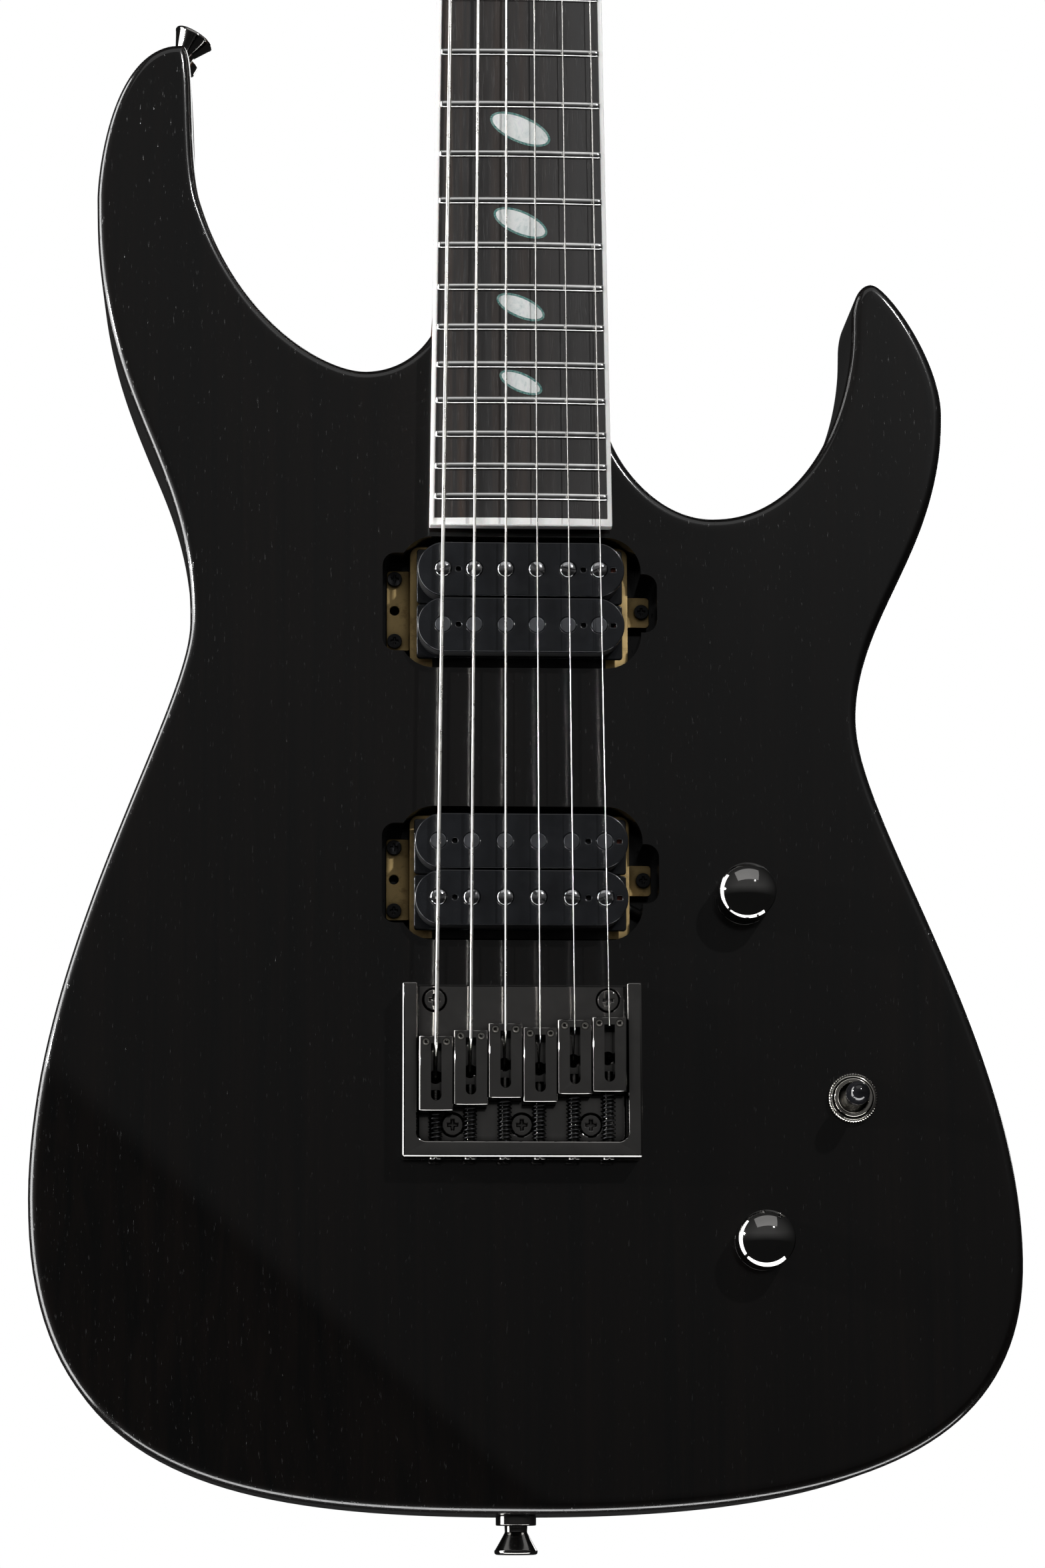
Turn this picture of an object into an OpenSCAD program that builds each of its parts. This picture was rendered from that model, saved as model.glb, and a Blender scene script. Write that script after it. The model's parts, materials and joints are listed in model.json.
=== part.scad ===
// Solid-body electric guitar, 24 frets, six strings, fixed bridge, two humbucking pickups.
//
// Parts are laid out on the bench: X to the treble side, Y up the neck from the nominal saddle
// line, Z out of the front of the body, with Z = 0 on its back. upright() then stands the
// instrument up, so the finished model has +Z up the neck and its front facing -Y.

/* [Scale and strings] */
// Scale length, from the nut to the nominal saddle line
scale_len = 648; // [644:1:652]
// Distance between the outer strings at the bridge
bridge_spread = 52.5; // [51:0.5:54]
// Distance between the outer strings at the nut
nut_spread = 35.5; // [35:0.5:36]

/* [Body] */
// Thickness of the body
body_t = 43; // [42:0.5:45]
// Slope of the forearm bevel, in degrees
bevel_slope = 10.5; // [5:0.5:12]
// Depth of the neck pocket below the front
pocket_depth = 16; // [15:0.5:17]
// Depth of the pickup cavities below the front
cavity_depth = 20; // [19.5:0.5:21]
// Thickness of wood left over the control cavity
control_wall = 7; // [6.5:0.5:7.5]

/* [Neck] */
// Width of the neck at the nut
nut_w = 43; // [42.5:0.5:43.5]
// Width of the fingerboard at its body end
board_end_w = 56.6; // [56:0.2:57]
// Distance from the nominal saddle line to the fingerboard's body end
board_end_y = 153; // [152.5:0.5:153.5]
// Height of the fingerboard's underside above the front of the body
board_lift = 2.9; // [2.5:0.1:3.5]
// Thickness of the fingerboard along its centre
board_t = 6; // [5.5:0.5:6.5]
// Radius of the fingerboard's crowned top
board_radius = 400; // [350:10:500]
// Number of frets
fret_count = 24; // [22:1:24]
// Depth of the neck under the fingerboard at the nut
neck_depth_nut = 13.5; // [13:0.5:14]
// Depth of the neck under the fingerboard at the heel
neck_depth_heel = 15.5; // [15:0.5:16]
// Backward tilt of the headstock, in degrees
head_tilt = 10; // [8:1:12]
// Thickness of the headstock
head_t = 14; // [14:0.5:14.5]

/* [Pickups] */
// Height of the bobbin tops above the front of the body
pickup_lift = 7.8; // [7:0.2:8.4]
// Width of one bobbin
bobbin_w = 17; // [16.6:0.1:17.2]
// Diameter of a pole slug
slug_d = 4.9; // [4.8:0.05:4.95]

/* [Bridge] */
// Width of the bridge plate over its side walls
plate_w = 72.6; // [72.5:0.1:74]
// Height of the bridge walls above the front of the body
wall_h = 9.5; // [9.2:0.1:10]
// Height of the saddle tops above the front of the body
saddle_lift = 12.2; // [12:0.1:12.6]
// Length of a saddle
saddle_l = 22.7; // [22.5:0.1:23]

/* [Controls] */
// Diameter of the dome knobs
knob_d = 17.4; // [17:0.1:18]
// Height of the dome knobs
knob_h = 15.5; // [15:0.5:17]
// Radius that the domed tops of the knobs are turned to
knob_dome_r = 11.3; // [10:0.1:14]
// Diameter of the toggle's knurled nut
toggle_nut_d = 15.4; // [15:0.1:16]
// Radius of the jack's plug bore
jack_bore_r = 3.2; // [3.2:0.05:3.3]

/* [Hidden] */
$fn = 48;

// Clearances: a turning or sliding fit, and a fit between fixed parts
run_gap = 0.05;
seat_gap = 0.03;
past = 1;           // how far a cutting shape runs past the surface it opens

// Heights on the bench
board_z = body_t + board_lift;
board_top = board_z + board_t;
fret_h = 1.1;
pocket_z = body_t - pocket_depth;
nut_t = 4;
head_y = scale_len + nut_t + 0.6;
head_z = board_z + 3;

// Strings, from the lowest to the highest
STRINGS = [0:5];
string_r = [0.58, 0.46, 0.33, 0.215, 0.165, 0.125];
saddle_front = [-6.6, -4.8, -2.7, -3.9, -1.5, -0.7];
function bridge_x(i) = bridge_spread * (i / 5 - 0.5);
function nut_x(i) = nut_spread * (i / 5 - 0.5);
function crown_drop(x) = x * x / (2 * board_radius);
function nut_string_z(i) = board_top - crown_drop(nut_x(i)) + fret_h + 0.4 + string_r[i];
function saddle_string_z(i) = body_t + saddle_lift + string_r[i] + seat_gap;
function string_hole_y(i) = saddle_front[i] - 11.5;
break_back = 2.6;   // the string bends this far behind the saddle's front

// Outlines: each anchor is [x, y, heading, reach before, reach after], and a cubic curve
// leaves one anchor along its heading and arrives at the next along that one's heading
body_anchors = [
    [-106.5, 310.5, 180, 5, 22], [-132.5, 259.5, 270, 10, 69], [-102, 123.5, 270, 55, 27],
    [-149.5, -54, 270, 74, 86], [3, -149, 0, 87, 94], [153, -72.5, 90, 60, 68],
    [104.5, 94, 90, 32, 34], [133, 192.5, 90, 44, 18], [111.5, 234.5, 180, 5, 5],
    [104.8, 221, 270, 6, 30], [60.5, 158, 180, 28, 19], [28.5, 184.5, 101, 6, 0],
    [-26.5, 218.5, 244, 0, 8], [-48.5, 204.5, 180, 11, 12], [-100, 259, 107, 41, 16]
];
head_anchors = [
    [-21.5, 0, 100, 0, 12], [-34.8, 25, 75, 12, 0], [5.5, 174, 75, 0, 9],
    [19, 182.5, -15, 9, 7], [28.5, 168, 262, 9, 50], [21.5, 0, 268, 60, 0]
];
outline_steps = 14;
function heading(a) = [cos(a), sin(a)];
function bezier(p, q, r, s, t) =
    pow(1 - t, 3) * p + 3 * pow(1 - t, 2) * t * q + 3 * (1 - t) * t * t * r + pow(t, 3) * s;
function stretch(a, b, n) = [for (k = [0:n - 1]) bezier(
    [a[0], a[1]],
    [a[0], a[1]] + a[4] * heading(a[2]),
    [b[0], b[1]] - b[3] * heading(b[2]),
    [b[0], b[1]], k / n)];
function outline(anchors) = [for (i = [0:len(anchors) - 1])
    let (a = anchors[i], b = anchors[(i + 1) % len(anchors)])
    for (p = stretch(a, b, a[4] + b[3] == 0 ? 1 : outline_steps)) p];

// Fingerboard plan
function half_width(y) =
    nut_w / 2 + (board_end_w - nut_w) / 2 * (scale_len - y) / (scale_len - board_end_y);
function fret_y(n) = scale_len * pow(2, -n / 12);
binding_side = 1.6;
binding_end = 2.3;
fret_w = 2.4;
INLAY_FRETS = [3, 5, 7, 9, 12, 15, 17, 19, 21];
inlay_tilt = -23.5;
inlay_depth = 1.2;
function fret_gap(n) = fret_y(n - 1) - fret_y(n);
function inlay_len(n) = min(1.25 * fret_gap(n), 27);
function inlay_wid(n) = min(0.54 * fret_gap(n), 11.5);

// Neck joint
heel_end_y = 154.5;
heel_tip_y = 222;
NECK_BOLTS = [[-17, 167], [17, 163.5], [-17, 201], [13, 182]];
neck_bolt_r = 2;
ferrule_r = 7;
ferrule_h = 3;
TRUSS_SCREWS = [[-7.2, 9], [7.2, 9], [0, 40]];

// Machine heads: local X across the post line, local Y along it, Z out of the headstock
post_r = 3;
post_pitch = 25;
first_post = 32;
wheel_r = 5;
worm_r = 2.45;
worm_y = 7.6;
worm_z = -head_t - 4.7;
post_string_z = 7;
string_taper = 0.0007;  // share by which the string spread narrows per mm past the nut
function post_v(i) = first_post + post_pitch * i;
function post_string_x(i) = nut_x(i) * (1 - string_taper * post_v(i));
function post_u(i) = post_string_x(i) - post_r - string_r[i] - run_gap;
line_angle = atan2(post_u(5) - post_u(0), post_v(5) - post_v(0));

// Pickups: [centre, bobbin length, pole pitch, side of the slotted screws]
PICKUPS = [[130.4, 63.9, 9.65, 1], [45.3, 65.3, 10.2, -1]];
row_y = bobbin_w / 2 + 0.25;
pickup_top = body_t + pickup_lift;
flange_t = 1.6;
coil_h = 9.2;
bobbin_h = 12.2;
base_top = pickup_top - 15.7;
base_t = 1;
ear_z = pickup_top - 22.5;
ear_x = 38.6;
ear_screws = [[-ear_x, -9.9], [-ear_x, 9.9], [ear_x, 0]];
screw_head_r = 2.5;
screw_shank_r = 1.6;

// Bridge
plate_front = 10.3;
plate_rear = -42.8;
plate_floor = body_t + 3;
wall_t = 4.6;
rear_wall_t = 4.7;
saddle_w = 10.3;
saddle_z = plate_floor + 0.9;
slot_r = 1.6;
intonation_z = plate_floor + 3.3;
intonation_r = 1.5;
spring_r = 2.15;
BRIDGE_SCREWS = [[-26.5, 5.6], [26.5, 5.6], [-21, -32.6], [0, -32.6], [21, -32.6]];
bridge_head_r = 3.25;

// Controls
volume_at = [68.8, 38.4];
tone_at = [73.4, -67.6];
toggle_at = [101.2, -23.9];
CONTROL_CORNERS = [[61, 42], [80, 44], [111, -8], [111, -42], [88, -80], [62, -77]];
control_r = 9;
lip_r = 16;
cover_t = 2.4;
cover_recess = 2.5;
bush_r = 3.95;
shaft_r = 3;
toggle_bush_r = 5.9;
toggle_bore_r = 4.65;
toggle_pivot_z = body_t - 5;
pivot_pin_r = 1;
jack_exit = [149.3, -97.5];
jack_angle = -25;
jack_seat = 3.5;
jack_r = 6;
function mean_point(p) = [for (k = [0, 1]) [for (q = p) q[k]] * [for (q = p) 1 / len(p)]];
function push_out(p, c, d) = p + d * (p - c) / norm(p - c);
COVER_SCREWS = [for (p = CONTROL_CORNERS)
    push_out(p, mean_point(CONTROL_CORNERS), control_r + 2.7)];

// Strap buttons: a foot on the body and the turn that points local Z outwards
STRAP_FEET = [[[-0.9, -149, body_t / 2], [90, 0, 0]], [[-108.6, 310, body_t / 2], [-90, 0, -30]]];
strap_foot_r = 6.15;
strap_screw_r = 2;
strap_l = 11.7;

// ---------------------------------------------------------------- shared shapes

// Stands the bench layout up
module upright() {
    rotate([90, 0, 0]) children();
}

// The headstock's own frame: X across, Y away from the nut, Z out of its front
module head_frame() {
    translate([0, head_y, head_z]) rotate([-head_tilt, 0, 0]) children();
}

module tuner_frame(i) {
    head_frame() translate([post_u(i), post_v(i), 0]) rotate([0, 0, -line_angle]) children();
}

module strap_frame(i) {
    translate(STRAP_FEET[i][0]) rotate(STRAP_FEET[i][1]) children();
}

// The jack's frame: its seat on the body's side, with local Z pointing out
module jack_frame() {
    translate([jack_exit[0], jack_exit[1], body_t / 2])
        rotate([0, 90, jack_angle])
            translate([0, 0, -jack_seat])
                children();
}

// A round rod from one point to another
module rod(a, b, r1, r2) {
    d = b - a;
    translate(a)
        rotate([0, acos(d[2] / norm(d)), atan2(d[1], d[0])])
            cylinder(r1 = r1, r2 = r2, h = norm(d));
}

// A row of rods through a list of points, each run on past its ends by extend
module path(points, r, extend = 0) {
    for (k = [0:len(points) - 2]) {
        a = points[k];
        b = points[k + 1];
        on = extend * (b - a) / norm(b - a);
        rod(a - on, b + on, r, r);
    }
}

module stadium(l, w) {
    square([l - w, w], center = true);
    for (s = [-1, 1]) translate([s * (l - w) / 2, 0]) circle(d = w);
}

module round_rect(l, w, r) {
    square([l - 2 * r, w], center = true);
    square([l, w - 2 * r], center = true);
    for (s = [-1, 1], t = [-1, 1]) translate([s * (l / 2 - r), t * (w / 2 - r)]) circle(r = r);
}

// A convex clockwise polygon grown by r, with round corners
function course(a, b) = atan2(b[1] - a[1], b[0] - a[0]);
function grown_points(p, r) = [for (i = [0:len(p) - 1])
    let (
        before = course(p[(i + len(p) - 1) % len(p)], p[i]),
        after = course(p[i], p[(i + 1) % len(p)]),
        turn = after > before ? after - before - 360 : after - before)
    for (t = [0:0.1:1]) p[i] + r * heading(before + 90 + turn * t)];
module grown(points, r) {
    polygon(grown_points(points, r));
}

// A pan-head screw, its head's top at Z = 0 and its tip pointing down
module pan_screw(head_r, head_h, shank_r, length) {
    difference() {
        translate([0, 0, -head_h]) cylinder(r = head_r, h = head_h);
        phillips(head_r);
    }
    translate([0, 0, -length]) cylinder(r = shank_r, h = length - head_h);
}

// A countersunk screw, its head's top at Z = 0 and its tip pointing down
module sunk_screw(head_r, shank_r, length) {
    sink = head_r - shank_r;
    difference() {
        translate([0, 0, -sink]) cylinder(r1 = shank_r, r2 = head_r, h = sink);
        phillips(head_r);
    }
    translate([0, 0, -length]) cylinder(r = shank_r, h = length - sink);
}

// The cross-shaped recess in a screw's head
module phillips(head_r) {
    deep = 0.26 * head_r;
    for (a = [0, 90]) rotate(a)
        translate([0, 0, (past - deep) / 2]) cube([head_r, 0.28 * head_r, past + deep], center = true);
}

// The hole a countersunk screw sits in, opening upwards
module sunk_hole(head_r, shank_r, length) {
    sink = head_r - shank_r;
    translate([0, 0, -sink])
        cylinder(r1 = shank_r + seat_gap, r2 = head_r + seat_gap, h = sink);
    translate([0, 0, -length - 0.2]) cylinder(r = shank_r + seat_gap, h = length + 0.2);
    cylinder(r = head_r + seat_gap, h = past);
}

// The fingerboard's crowned block, pulled in by side and end
module board_block(side, end) {
    intersection() {
        translate([0, 0, board_z]) linear_extrude(board_t + past) polygon([
            [-half_width(board_end_y) + side, board_end_y + end],
            [half_width(board_end_y) - side, board_end_y + end],
            [half_width(scale_len) - side, scale_len],
            [-half_width(scale_len) + side, scale_len]]);
        crown(board_radius);
    }
}

// A long cylinder whose top is the fingerboard's crown
module crown(r) {
    translate([0, board_end_y - 10, board_top - board_radius])
        rotate([-90, 0, 0]) cylinder(r = r, h = scale_len - board_end_y + 20, $fn = 720);
}

module inlay_shape(n, grow) {
    l = inlay_len(n) / 2 + grow;
    w = inlay_wid(n) / 2 + grow;
    translate([0, (fret_y(n) + fret_y(n - 1)) / 2]) rotate(inlay_tilt)
        polygon([for (a = [0:10:350]) [l * cos(a), w * sin(a)]]);
}

// ---------------------------------------------------------------- body

module body() {
    color([0.07, 0.055, 0.05]) upright() difference() {
        linear_extrude(body_t) polygon(outline(body_anchors));
        forearm_bevel();
        belly_dish();
        neck_pocket();
        for (p = PICKUPS) pickup_cavity(p);
        bridge_holes();
        control_cavity();
        jack_hole();
        wire_channels();
        strap_seats();
    }
}

// The flat slope that the player's forearm rests on
module forearm_bevel() {
    translate([-142.7, -16.8, body_t]) rotate([0, 0, -41.8]) rotate([bevel_slope, 0, 0])
        translate([-60, -220, 0]) cube([320, 220, 60]);
}

// The hollow in the back where the body meets the player's ribs
module belly_dish() {
    dish_r = 220;
    translate([-150, 110, 15 - dish_r]) sphere(r = dish_r, $fn = 180);
}

module neck_pocket() {
    far = heel_tip_y + 20;
    near = heel_end_y - run_gap;
    translate([0, 0, pocket_z]) linear_extrude(pocket_depth + past) polygon([
        [-half_width(near) - run_gap, near], [half_width(near) + run_gap, near],
        [half_width(far) + run_gap, far], [-half_width(far) - run_gap, far]]);
    for (p = NECK_BOLTS) translate([p[0], p[1], 0]) {
        translate([0, 0, -past]) cylinder(r = neck_bolt_r + 0.3, h = body_t);
        translate([0, 0, -past]) cylinder(r = ferrule_r + seat_gap, h = ferrule_h + past + 0.1);
    }
}

module pickup_cavity(p) {
    translate([0, p[0], body_t - cavity_depth]) {
        linear_extrude(cavity_depth + past) {
            round_rect(75.2, 41.6, 11);
            translate([-21.3, 0]) round_rect(42.6, 31, 4);
            translate([21.3, 0]) round_rect(42.6, 18.5, 4);
        }
        for (s = ear_screws) translate([s[0], s[1], -9]) cylinder(r = 1.2 + seat_gap, h = 10);
    }
}

module bridge_holes() {
    for (s = BRIDGE_SCREWS) translate([s[0], s[1], body_t - 20]) cylinder(r = 1.6 + seat_gap, h = 21);
    for (i = STRINGS) translate([bridge_x(i), string_hole_y(i), 0]) {
        translate([0, 0, -past]) cylinder(r = 1.6, h = body_t + 2 * past);
        translate([0, 0, -past]) cylinder(r = 4 + seat_gap, h = 10.2 + past);
    }
}

module control_cavity() {
    translate([0, 0, cover_recess - past])
        linear_extrude(body_t - control_wall - cover_recess + past) grown(CONTROL_CORNERS, control_r);
    translate([0, 0, -past]) linear_extrude(cover_recess + past) grown(CONTROL_CORNERS, lip_r);
    for (p = COVER_SCREWS) translate([p[0], p[1], 0]) cylinder(r = 1.3 + seat_gap, h = 14);
    for (p = [volume_at, tone_at]) translate([p[0], p[1], body_t - control_wall - past])
        cylinder(r = bush_r + 0.1, h = control_wall + 2 * past);
    translate([toggle_at[0], toggle_at[1], body_t - control_wall - past])
        cylinder(r = toggle_bush_r + 0.1, h = control_wall + 2 * past);
}

module jack_hole() {
    jack_frame() {
        translate([0, 0, -52]) cylinder(r = jack_r + 0.05, h = 60);
        cylinder(r = 10, h = 12);
    }
}

// Drilled channels for the pickup leads
module wire_channels() {
    rod([20, PICKUPS[0][0] - 12, 27], [20, PICKUPS[1][0] + 12, 27], 3, 3);
    rod([30, PICKUPS[1][0] - 6, 27], [66, 20, 27], 3, 3);
}

module strap_seats() {
    for (i = [0, 1]) strap_frame(i) {
        translate([0, 0, -22]) cylinder(r = strap_screw_r + seat_gap, h = 24);
        cylinder(r = strap_foot_r + 0.6, h = 12);
    }
}

// ---------------------------------------------------------------- neck

module neck() {
    color([0.16, 0.09, 0.06]) upright() difference() {
        union() {
            heel();
            shaft();
            volute();
            head_frame() translate([0, 0, -head_t]) linear_extrude(head_t)
                polygon(outline(head_anchors));
        }
        for (p = NECK_BOLTS) translate([p[0], p[1], pocket_z - past])
            cylinder(r = neck_bolt_r + seat_gap, h = 15.5);
        rod([0, 188, board_z - 4], [0, head_y + 5, board_z - 4], 3, 3);
        truss_pocket();
        for (i = STRINGS) tuner_frame(i) {
            translate([0, 0, -head_t - past]) cylinder(r = 4.95, h = head_t + 2 * past);
            translate([0, -8.6, -head_t - past]) cylinder(r = 1.1 + seat_gap, h = 8);
        }
        head_frame() for (p = TRUSS_SCREWS) translate([p[0], p[1], -8])
            cylinder(r = 1 + seat_gap, h = 9);
    }
}

// The block in the body's pocket, rounded off where it leaves the body
module heel() {
    intersection() {
        translate([0, 0, pocket_z + seat_gap])
            linear_extrude(board_z - pocket_z - seat_gap) polygon([
                [-half_width(heel_end_y), heel_end_y], [half_width(heel_end_y), heel_end_y],
                [half_width(heel_tip_y), heel_tip_y], [-half_width(heel_tip_y), heel_tip_y]]);
        translate([-50, heel_tip_y - 70, board_z]) rotate([0, 90, 0]) cylinder(r = 70, h = 100, $fn = 120);
    }
}

// Radius of the arc through a half width w at the top and a depth d below it
function arc_r(w, d) = (w * w + d * d) / (2 * d);

// A cone cut flat under the fingerboard, which gives a rounded back that tapers
module shaft() {
    y1 = head_y;
    y2 = heel_tip_y - 12;
    r1 = arc_r(half_width(scale_len), neck_depth_nut);
    r2 = arc_r(half_width(y2), neck_depth_heel);
    intersection() {
        rod([0, y1, board_z + r1 - neck_depth_nut], [0, y2, board_z + r2 - neck_depth_heel],
            r1, r2, $fn = 120);
        translate([-50, y2, board_z - 40]) cube([100, y1 - y2, 40]);
    }
}

// The swelling that joins the round shaft to the flat headstock
module volute() {
    r = arc_r(half_width(scale_len), neck_depth_nut);
    hull() {
        translate([0, head_y - 1, board_z]) rotate([90, 0, 0]) linear_extrude(0.5) intersection() {
            translate([0, r - neck_depth_nut]) circle(r = r, $fn = 64);
            translate([-30, -30]) square([60, 30]);
        }
        head_frame() translate([-22, 24, -head_t]) cube([40, 0.5, head_t - 4]);
    }
}

// The opening under the cover, where the truss rod's nut is reached
module truss_pocket() {
    head_frame() translate([-4.5, 3.2, -11]) cube([9, 25, 12]);
}

module fingerboard() {
    color([0.09, 0.07, 0.06]) upright() difference() {
        board_block(binding_side, binding_end);
        for (n = [1:fret_count]) translate([-half_width(fret_y(n)), fret_y(n) - 0.28, board_top - 2.1])
            cube([2 * half_width(fret_y(n)), 0.56, 4]);
        for (n = INLAY_FRETS) translate([0, 0, board_top - inlay_depth]) linear_extrude(2)
            inlay_shape(n, 0.02);
    }
}

module fingerboard_binding() {
    color([0.93, 0.92, 0.88]) upright() difference() {
        board_block(0, 0);
        board_block_cut();
    }
}

// Everything inside the binding, cut a hair wide so that board and binding only touch
module board_block_cut() {
    g = 0.01;
    translate([0, 0, board_z - past]) linear_extrude(board_t + 3) polygon([
        [-half_width(board_end_y) + binding_side - g, board_end_y + binding_end - g],
        [half_width(board_end_y) - binding_side + g, board_end_y + binding_end - g],
        [half_width(scale_len + past) - binding_side + g, scale_len + past],
        [-half_width(scale_len + past) + binding_side - g, scale_len + past]]);
}

module frets() {
    color([0.8, 0.8, 0.8]) upright() for (n = [1:fret_count]) {
        y = fret_y(n);
        w = half_width(y) - 1.2;
        tang_w = half_width(y) - binding_side - 0.1;
        intersection() {
            translate([-w, y - fret_w / 2, board_top - 3]) cube([2 * w, fret_w, 6]);
            difference() {
                crown(board_radius + fret_h);
                crown(board_radius + 0.01);
            }
        }
        intersection() {
            translate([-tang_w, y - 0.25, board_top - 2]) cube([2 * tang_w, 0.5, 3]);
            crown(board_radius + 0.3);
        }
    }
}

module inlays() {
    color([0.85, 0.88, 0.86]) upright() for (n = INLAY_FRETS)
        translate([0, 0, board_top - inlay_depth + 0.01])
            linear_extrude(inlay_depth - crown_drop(inlay_len(n) / 2) - 0.02) inlay_shape(n, 0);
}

module nut() {
    color([0.9, 0.87, 0.78]) upright() difference() {
        intersection() {
            translate([-nut_w / 2, scale_len + 0.02, board_z]) cube([nut_w, nut_t - 0.02, board_t + 3]);
            translate([0, scale_len - past, board_top - board_radius])
                rotate([-90, 0, 0]) cylinder(r = board_radius + 2, h = 10, $fn = 360);
        }
        for (i = STRINGS) {
            r = string_r[i] + 0.06;
            translate([nut_x(i), scale_len - past, nut_string_z(i)]) {
                rotate([-90, 0, 0]) cylinder(r = r, h = 7);
                translate([-r, 0, 0]) cube([2 * r, 7, 5]);
            }
        }
    }
}

module truss_rod() {
    color([0.6, 0.6, 0.6]) upright() {
        rod([0, 190, board_z - 4], [0, head_y + 4, board_z - 4], 2.9, 2.9);
        rod([0, head_y + 4, board_z - 4], [0, head_y + 13, board_z - 4], 3.6, 3.6);
    }
}

module truss_rod_cover() {
    color([0.05, 0.05, 0.05]) upright() head_frame() difference() {
        translate([0, 24.5, 0.02]) linear_extrude(2) round_rect(20, 40, 4);
        for (p = TRUSS_SCREWS) translate([p[0], p[1], 2.02]) sunk_hole(1.9, 1, 6);
    }
}

// ---------------------------------------------------------------- fasteners

module wood_screws() {
    color([0.15, 0.15, 0.16]) upright() {
        for (p = NECK_BOLTS) translate([p[0], p[1], 0.2]) mirror([0, 0, 1])
            sunk_screw(4.4, neck_bolt_r, 40);
        for (s = BRIDGE_SCREWS) translate([s[0], s[1], plate_floor]) pan_screw(bridge_head_r, 1.8, 1.6, 21);
        for (p = COVER_SCREWS) translate([p[0], p[1], 0.15]) mirror([0, 0, 1])
            sunk_screw(2.9, 1.3, 13);
        for (i = [0, 1]) strap_frame(i) translate([0, 0, strap_l])
            sunk_screw(3.4, strap_screw_r, strap_l + 20);
        head_frame() for (p = TRUSS_SCREWS) translate([p[0], p[1], 2.02]) sunk_screw(1.9, 1, 9);
        for (i = STRINGS) tuner_frame(i) translate([0, -8.6, -head_t - 3.85]) mirror([0, 0, 1])
            pan_screw(2.1, 1.2, 1.1, 10);
    }
}

// Neck-bolt ferrules and the string anchors, set in the back of the body
module ferrules() {
    color([0.2, 0.2, 0.21]) upright() {
        for (p = NECK_BOLTS) translate([p[0], p[1], 0.1]) difference() {
            cylinder(r = ferrule_r, h = ferrule_h);
            translate([0, 0, 0.1]) mirror([0, 0, 1]) sunk_hole(4.4, neck_bolt_r, 6);
        }
        for (i = STRINGS) translate([bridge_x(i), string_hole_y(i), 0.1]) difference() {
            cylinder(r = 4, h = 10);
            translate([0, 0, -past]) cylinder(r = 2.1, h = 8.5 + past);
            cylinder(r = 0.9, h = 11);
        }
    }
}

module strap_buttons() {
    color([0.3, 0.3, 0.32]) upright() for (i = [0, 1]) strap_frame(i) {
        difference() {
            translate([0, 0, 0.02]) cylinder(r = strap_foot_r, h = 2.9);
            translate([0, 0, -past]) cylinder(r = strap_screw_r + seat_gap, h = 6);
        }
        difference() {
            rotate_extrude() polygon([[0, 2.95], [3.5, 2.95], [3.4, 5], [6.2, 10], [6.65, 10.6],
                [6.5, 11.4], [6, strap_l], [0, strap_l]]);
            translate([0, 0, strap_l]) sunk_hole(3.4, strap_screw_r, strap_l + 2);
        }
    }
}

// ---------------------------------------------------------------- bridge

module bridge_plate() {
    inner_w = plate_w - 2 * wall_t;
    plate_l = plate_front - plate_rear;
    color([0.25, 0.25, 0.27]) upright() difference() {
        translate([-plate_w / 2, plate_rear, body_t + 0.01]) cube([plate_w, plate_l, wall_h]);
        // the open-fronted bay that the saddles slide in
        translate([0, 0, plate_floor]) linear_extrude(wall_h) {
            translate([0, plate_rear + rear_wall_t + 20]) round_rect(inner_w, 40, 2.6);
            translate([-inner_w / 2, plate_rear + rear_wall_t + 10]) square([inner_w, plate_l]);
        }
        for (s = BRIDGE_SCREWS) translate([s[0], s[1], 0]) {
            cylinder(r = 1.7, h = 60);
            translate([0, 0, plate_floor - 1.8 - seat_gap]) cylinder(r = bridge_head_r + seat_gap, h = 4);
        }
        for (i = STRINGS) {
            translate([bridge_x(i), string_hole_y(i), 0]) cylinder(r = 1.5, h = 60);
            translate([bridge_x(i), plate_rear - past, intonation_z])
                rotate([-90, 0, 0]) cylinder(r = intonation_r + run_gap, h = rear_wall_t + 2 * past);
        }
    }
}

// A saddle block, its front at Y = 0, with its two height screws as separate solids
module saddle(i) {
    top = body_t + saddle_lift;
    color([0.3, 0.3, 0.32]) upright() translate([bridge_x(i), saddle_front[i], 0]) {
        difference() {
            translate([-saddle_w / 2, -saddle_l, saddle_z]) cube([saddle_w, saddle_l, top - saddle_z]);
            translate([0, 0, saddle_z - past]) linear_extrude(20) {
                translate([-slot_r, -saddle_l + 3 + slot_r]) square([2 * slot_r, saddle_l - 5.3 - slot_r]);
                translate([0, -saddle_l + 3 + slot_r]) circle(r = slot_r);
            }
            translate([0, -saddle_l - past, intonation_z])
                rotate([-90, 0, 0]) cylinder(r = intonation_r + run_gap, h = 8);
            for (s = [-1, 1]) translate([s * 3.1, -1.9, saddle_z - past])
                cylinder(r = 1.2 + seat_gap, h = 20);
        }
        for (s = [-1, 1]) translate([s * 3.1, -1.9, plate_floor + run_gap]) difference() {
            cylinder(r = 1.2, h = top - plate_floor - 0.25);
            translate([0, 0, top - plate_floor - 1.2]) cylinder(r = 0.6, h = 2, $fn = 6);
        }
    }
}

module intonation_screw(i) {
    tip = saddle_front[i] - 16;
    color([0.3, 0.3, 0.32]) upright() translate([bridge_x(i), 0, intonation_z]) {
        rotate([90, 0, 0]) translate([0, 0, -plate_rear + 0.02]) difference() {
            cylinder(r = 2.2, h = 0.8);
            translate([0, 0, 0.8]) cube([0.5, 5, 0.8], center = true);
        }
        translate([0, plate_rear - 0.1, 0]) rotate([-90, 0, 0])
            cylinder(r = intonation_r, h = tip - plate_rear + 0.1);
    }
}

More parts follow.
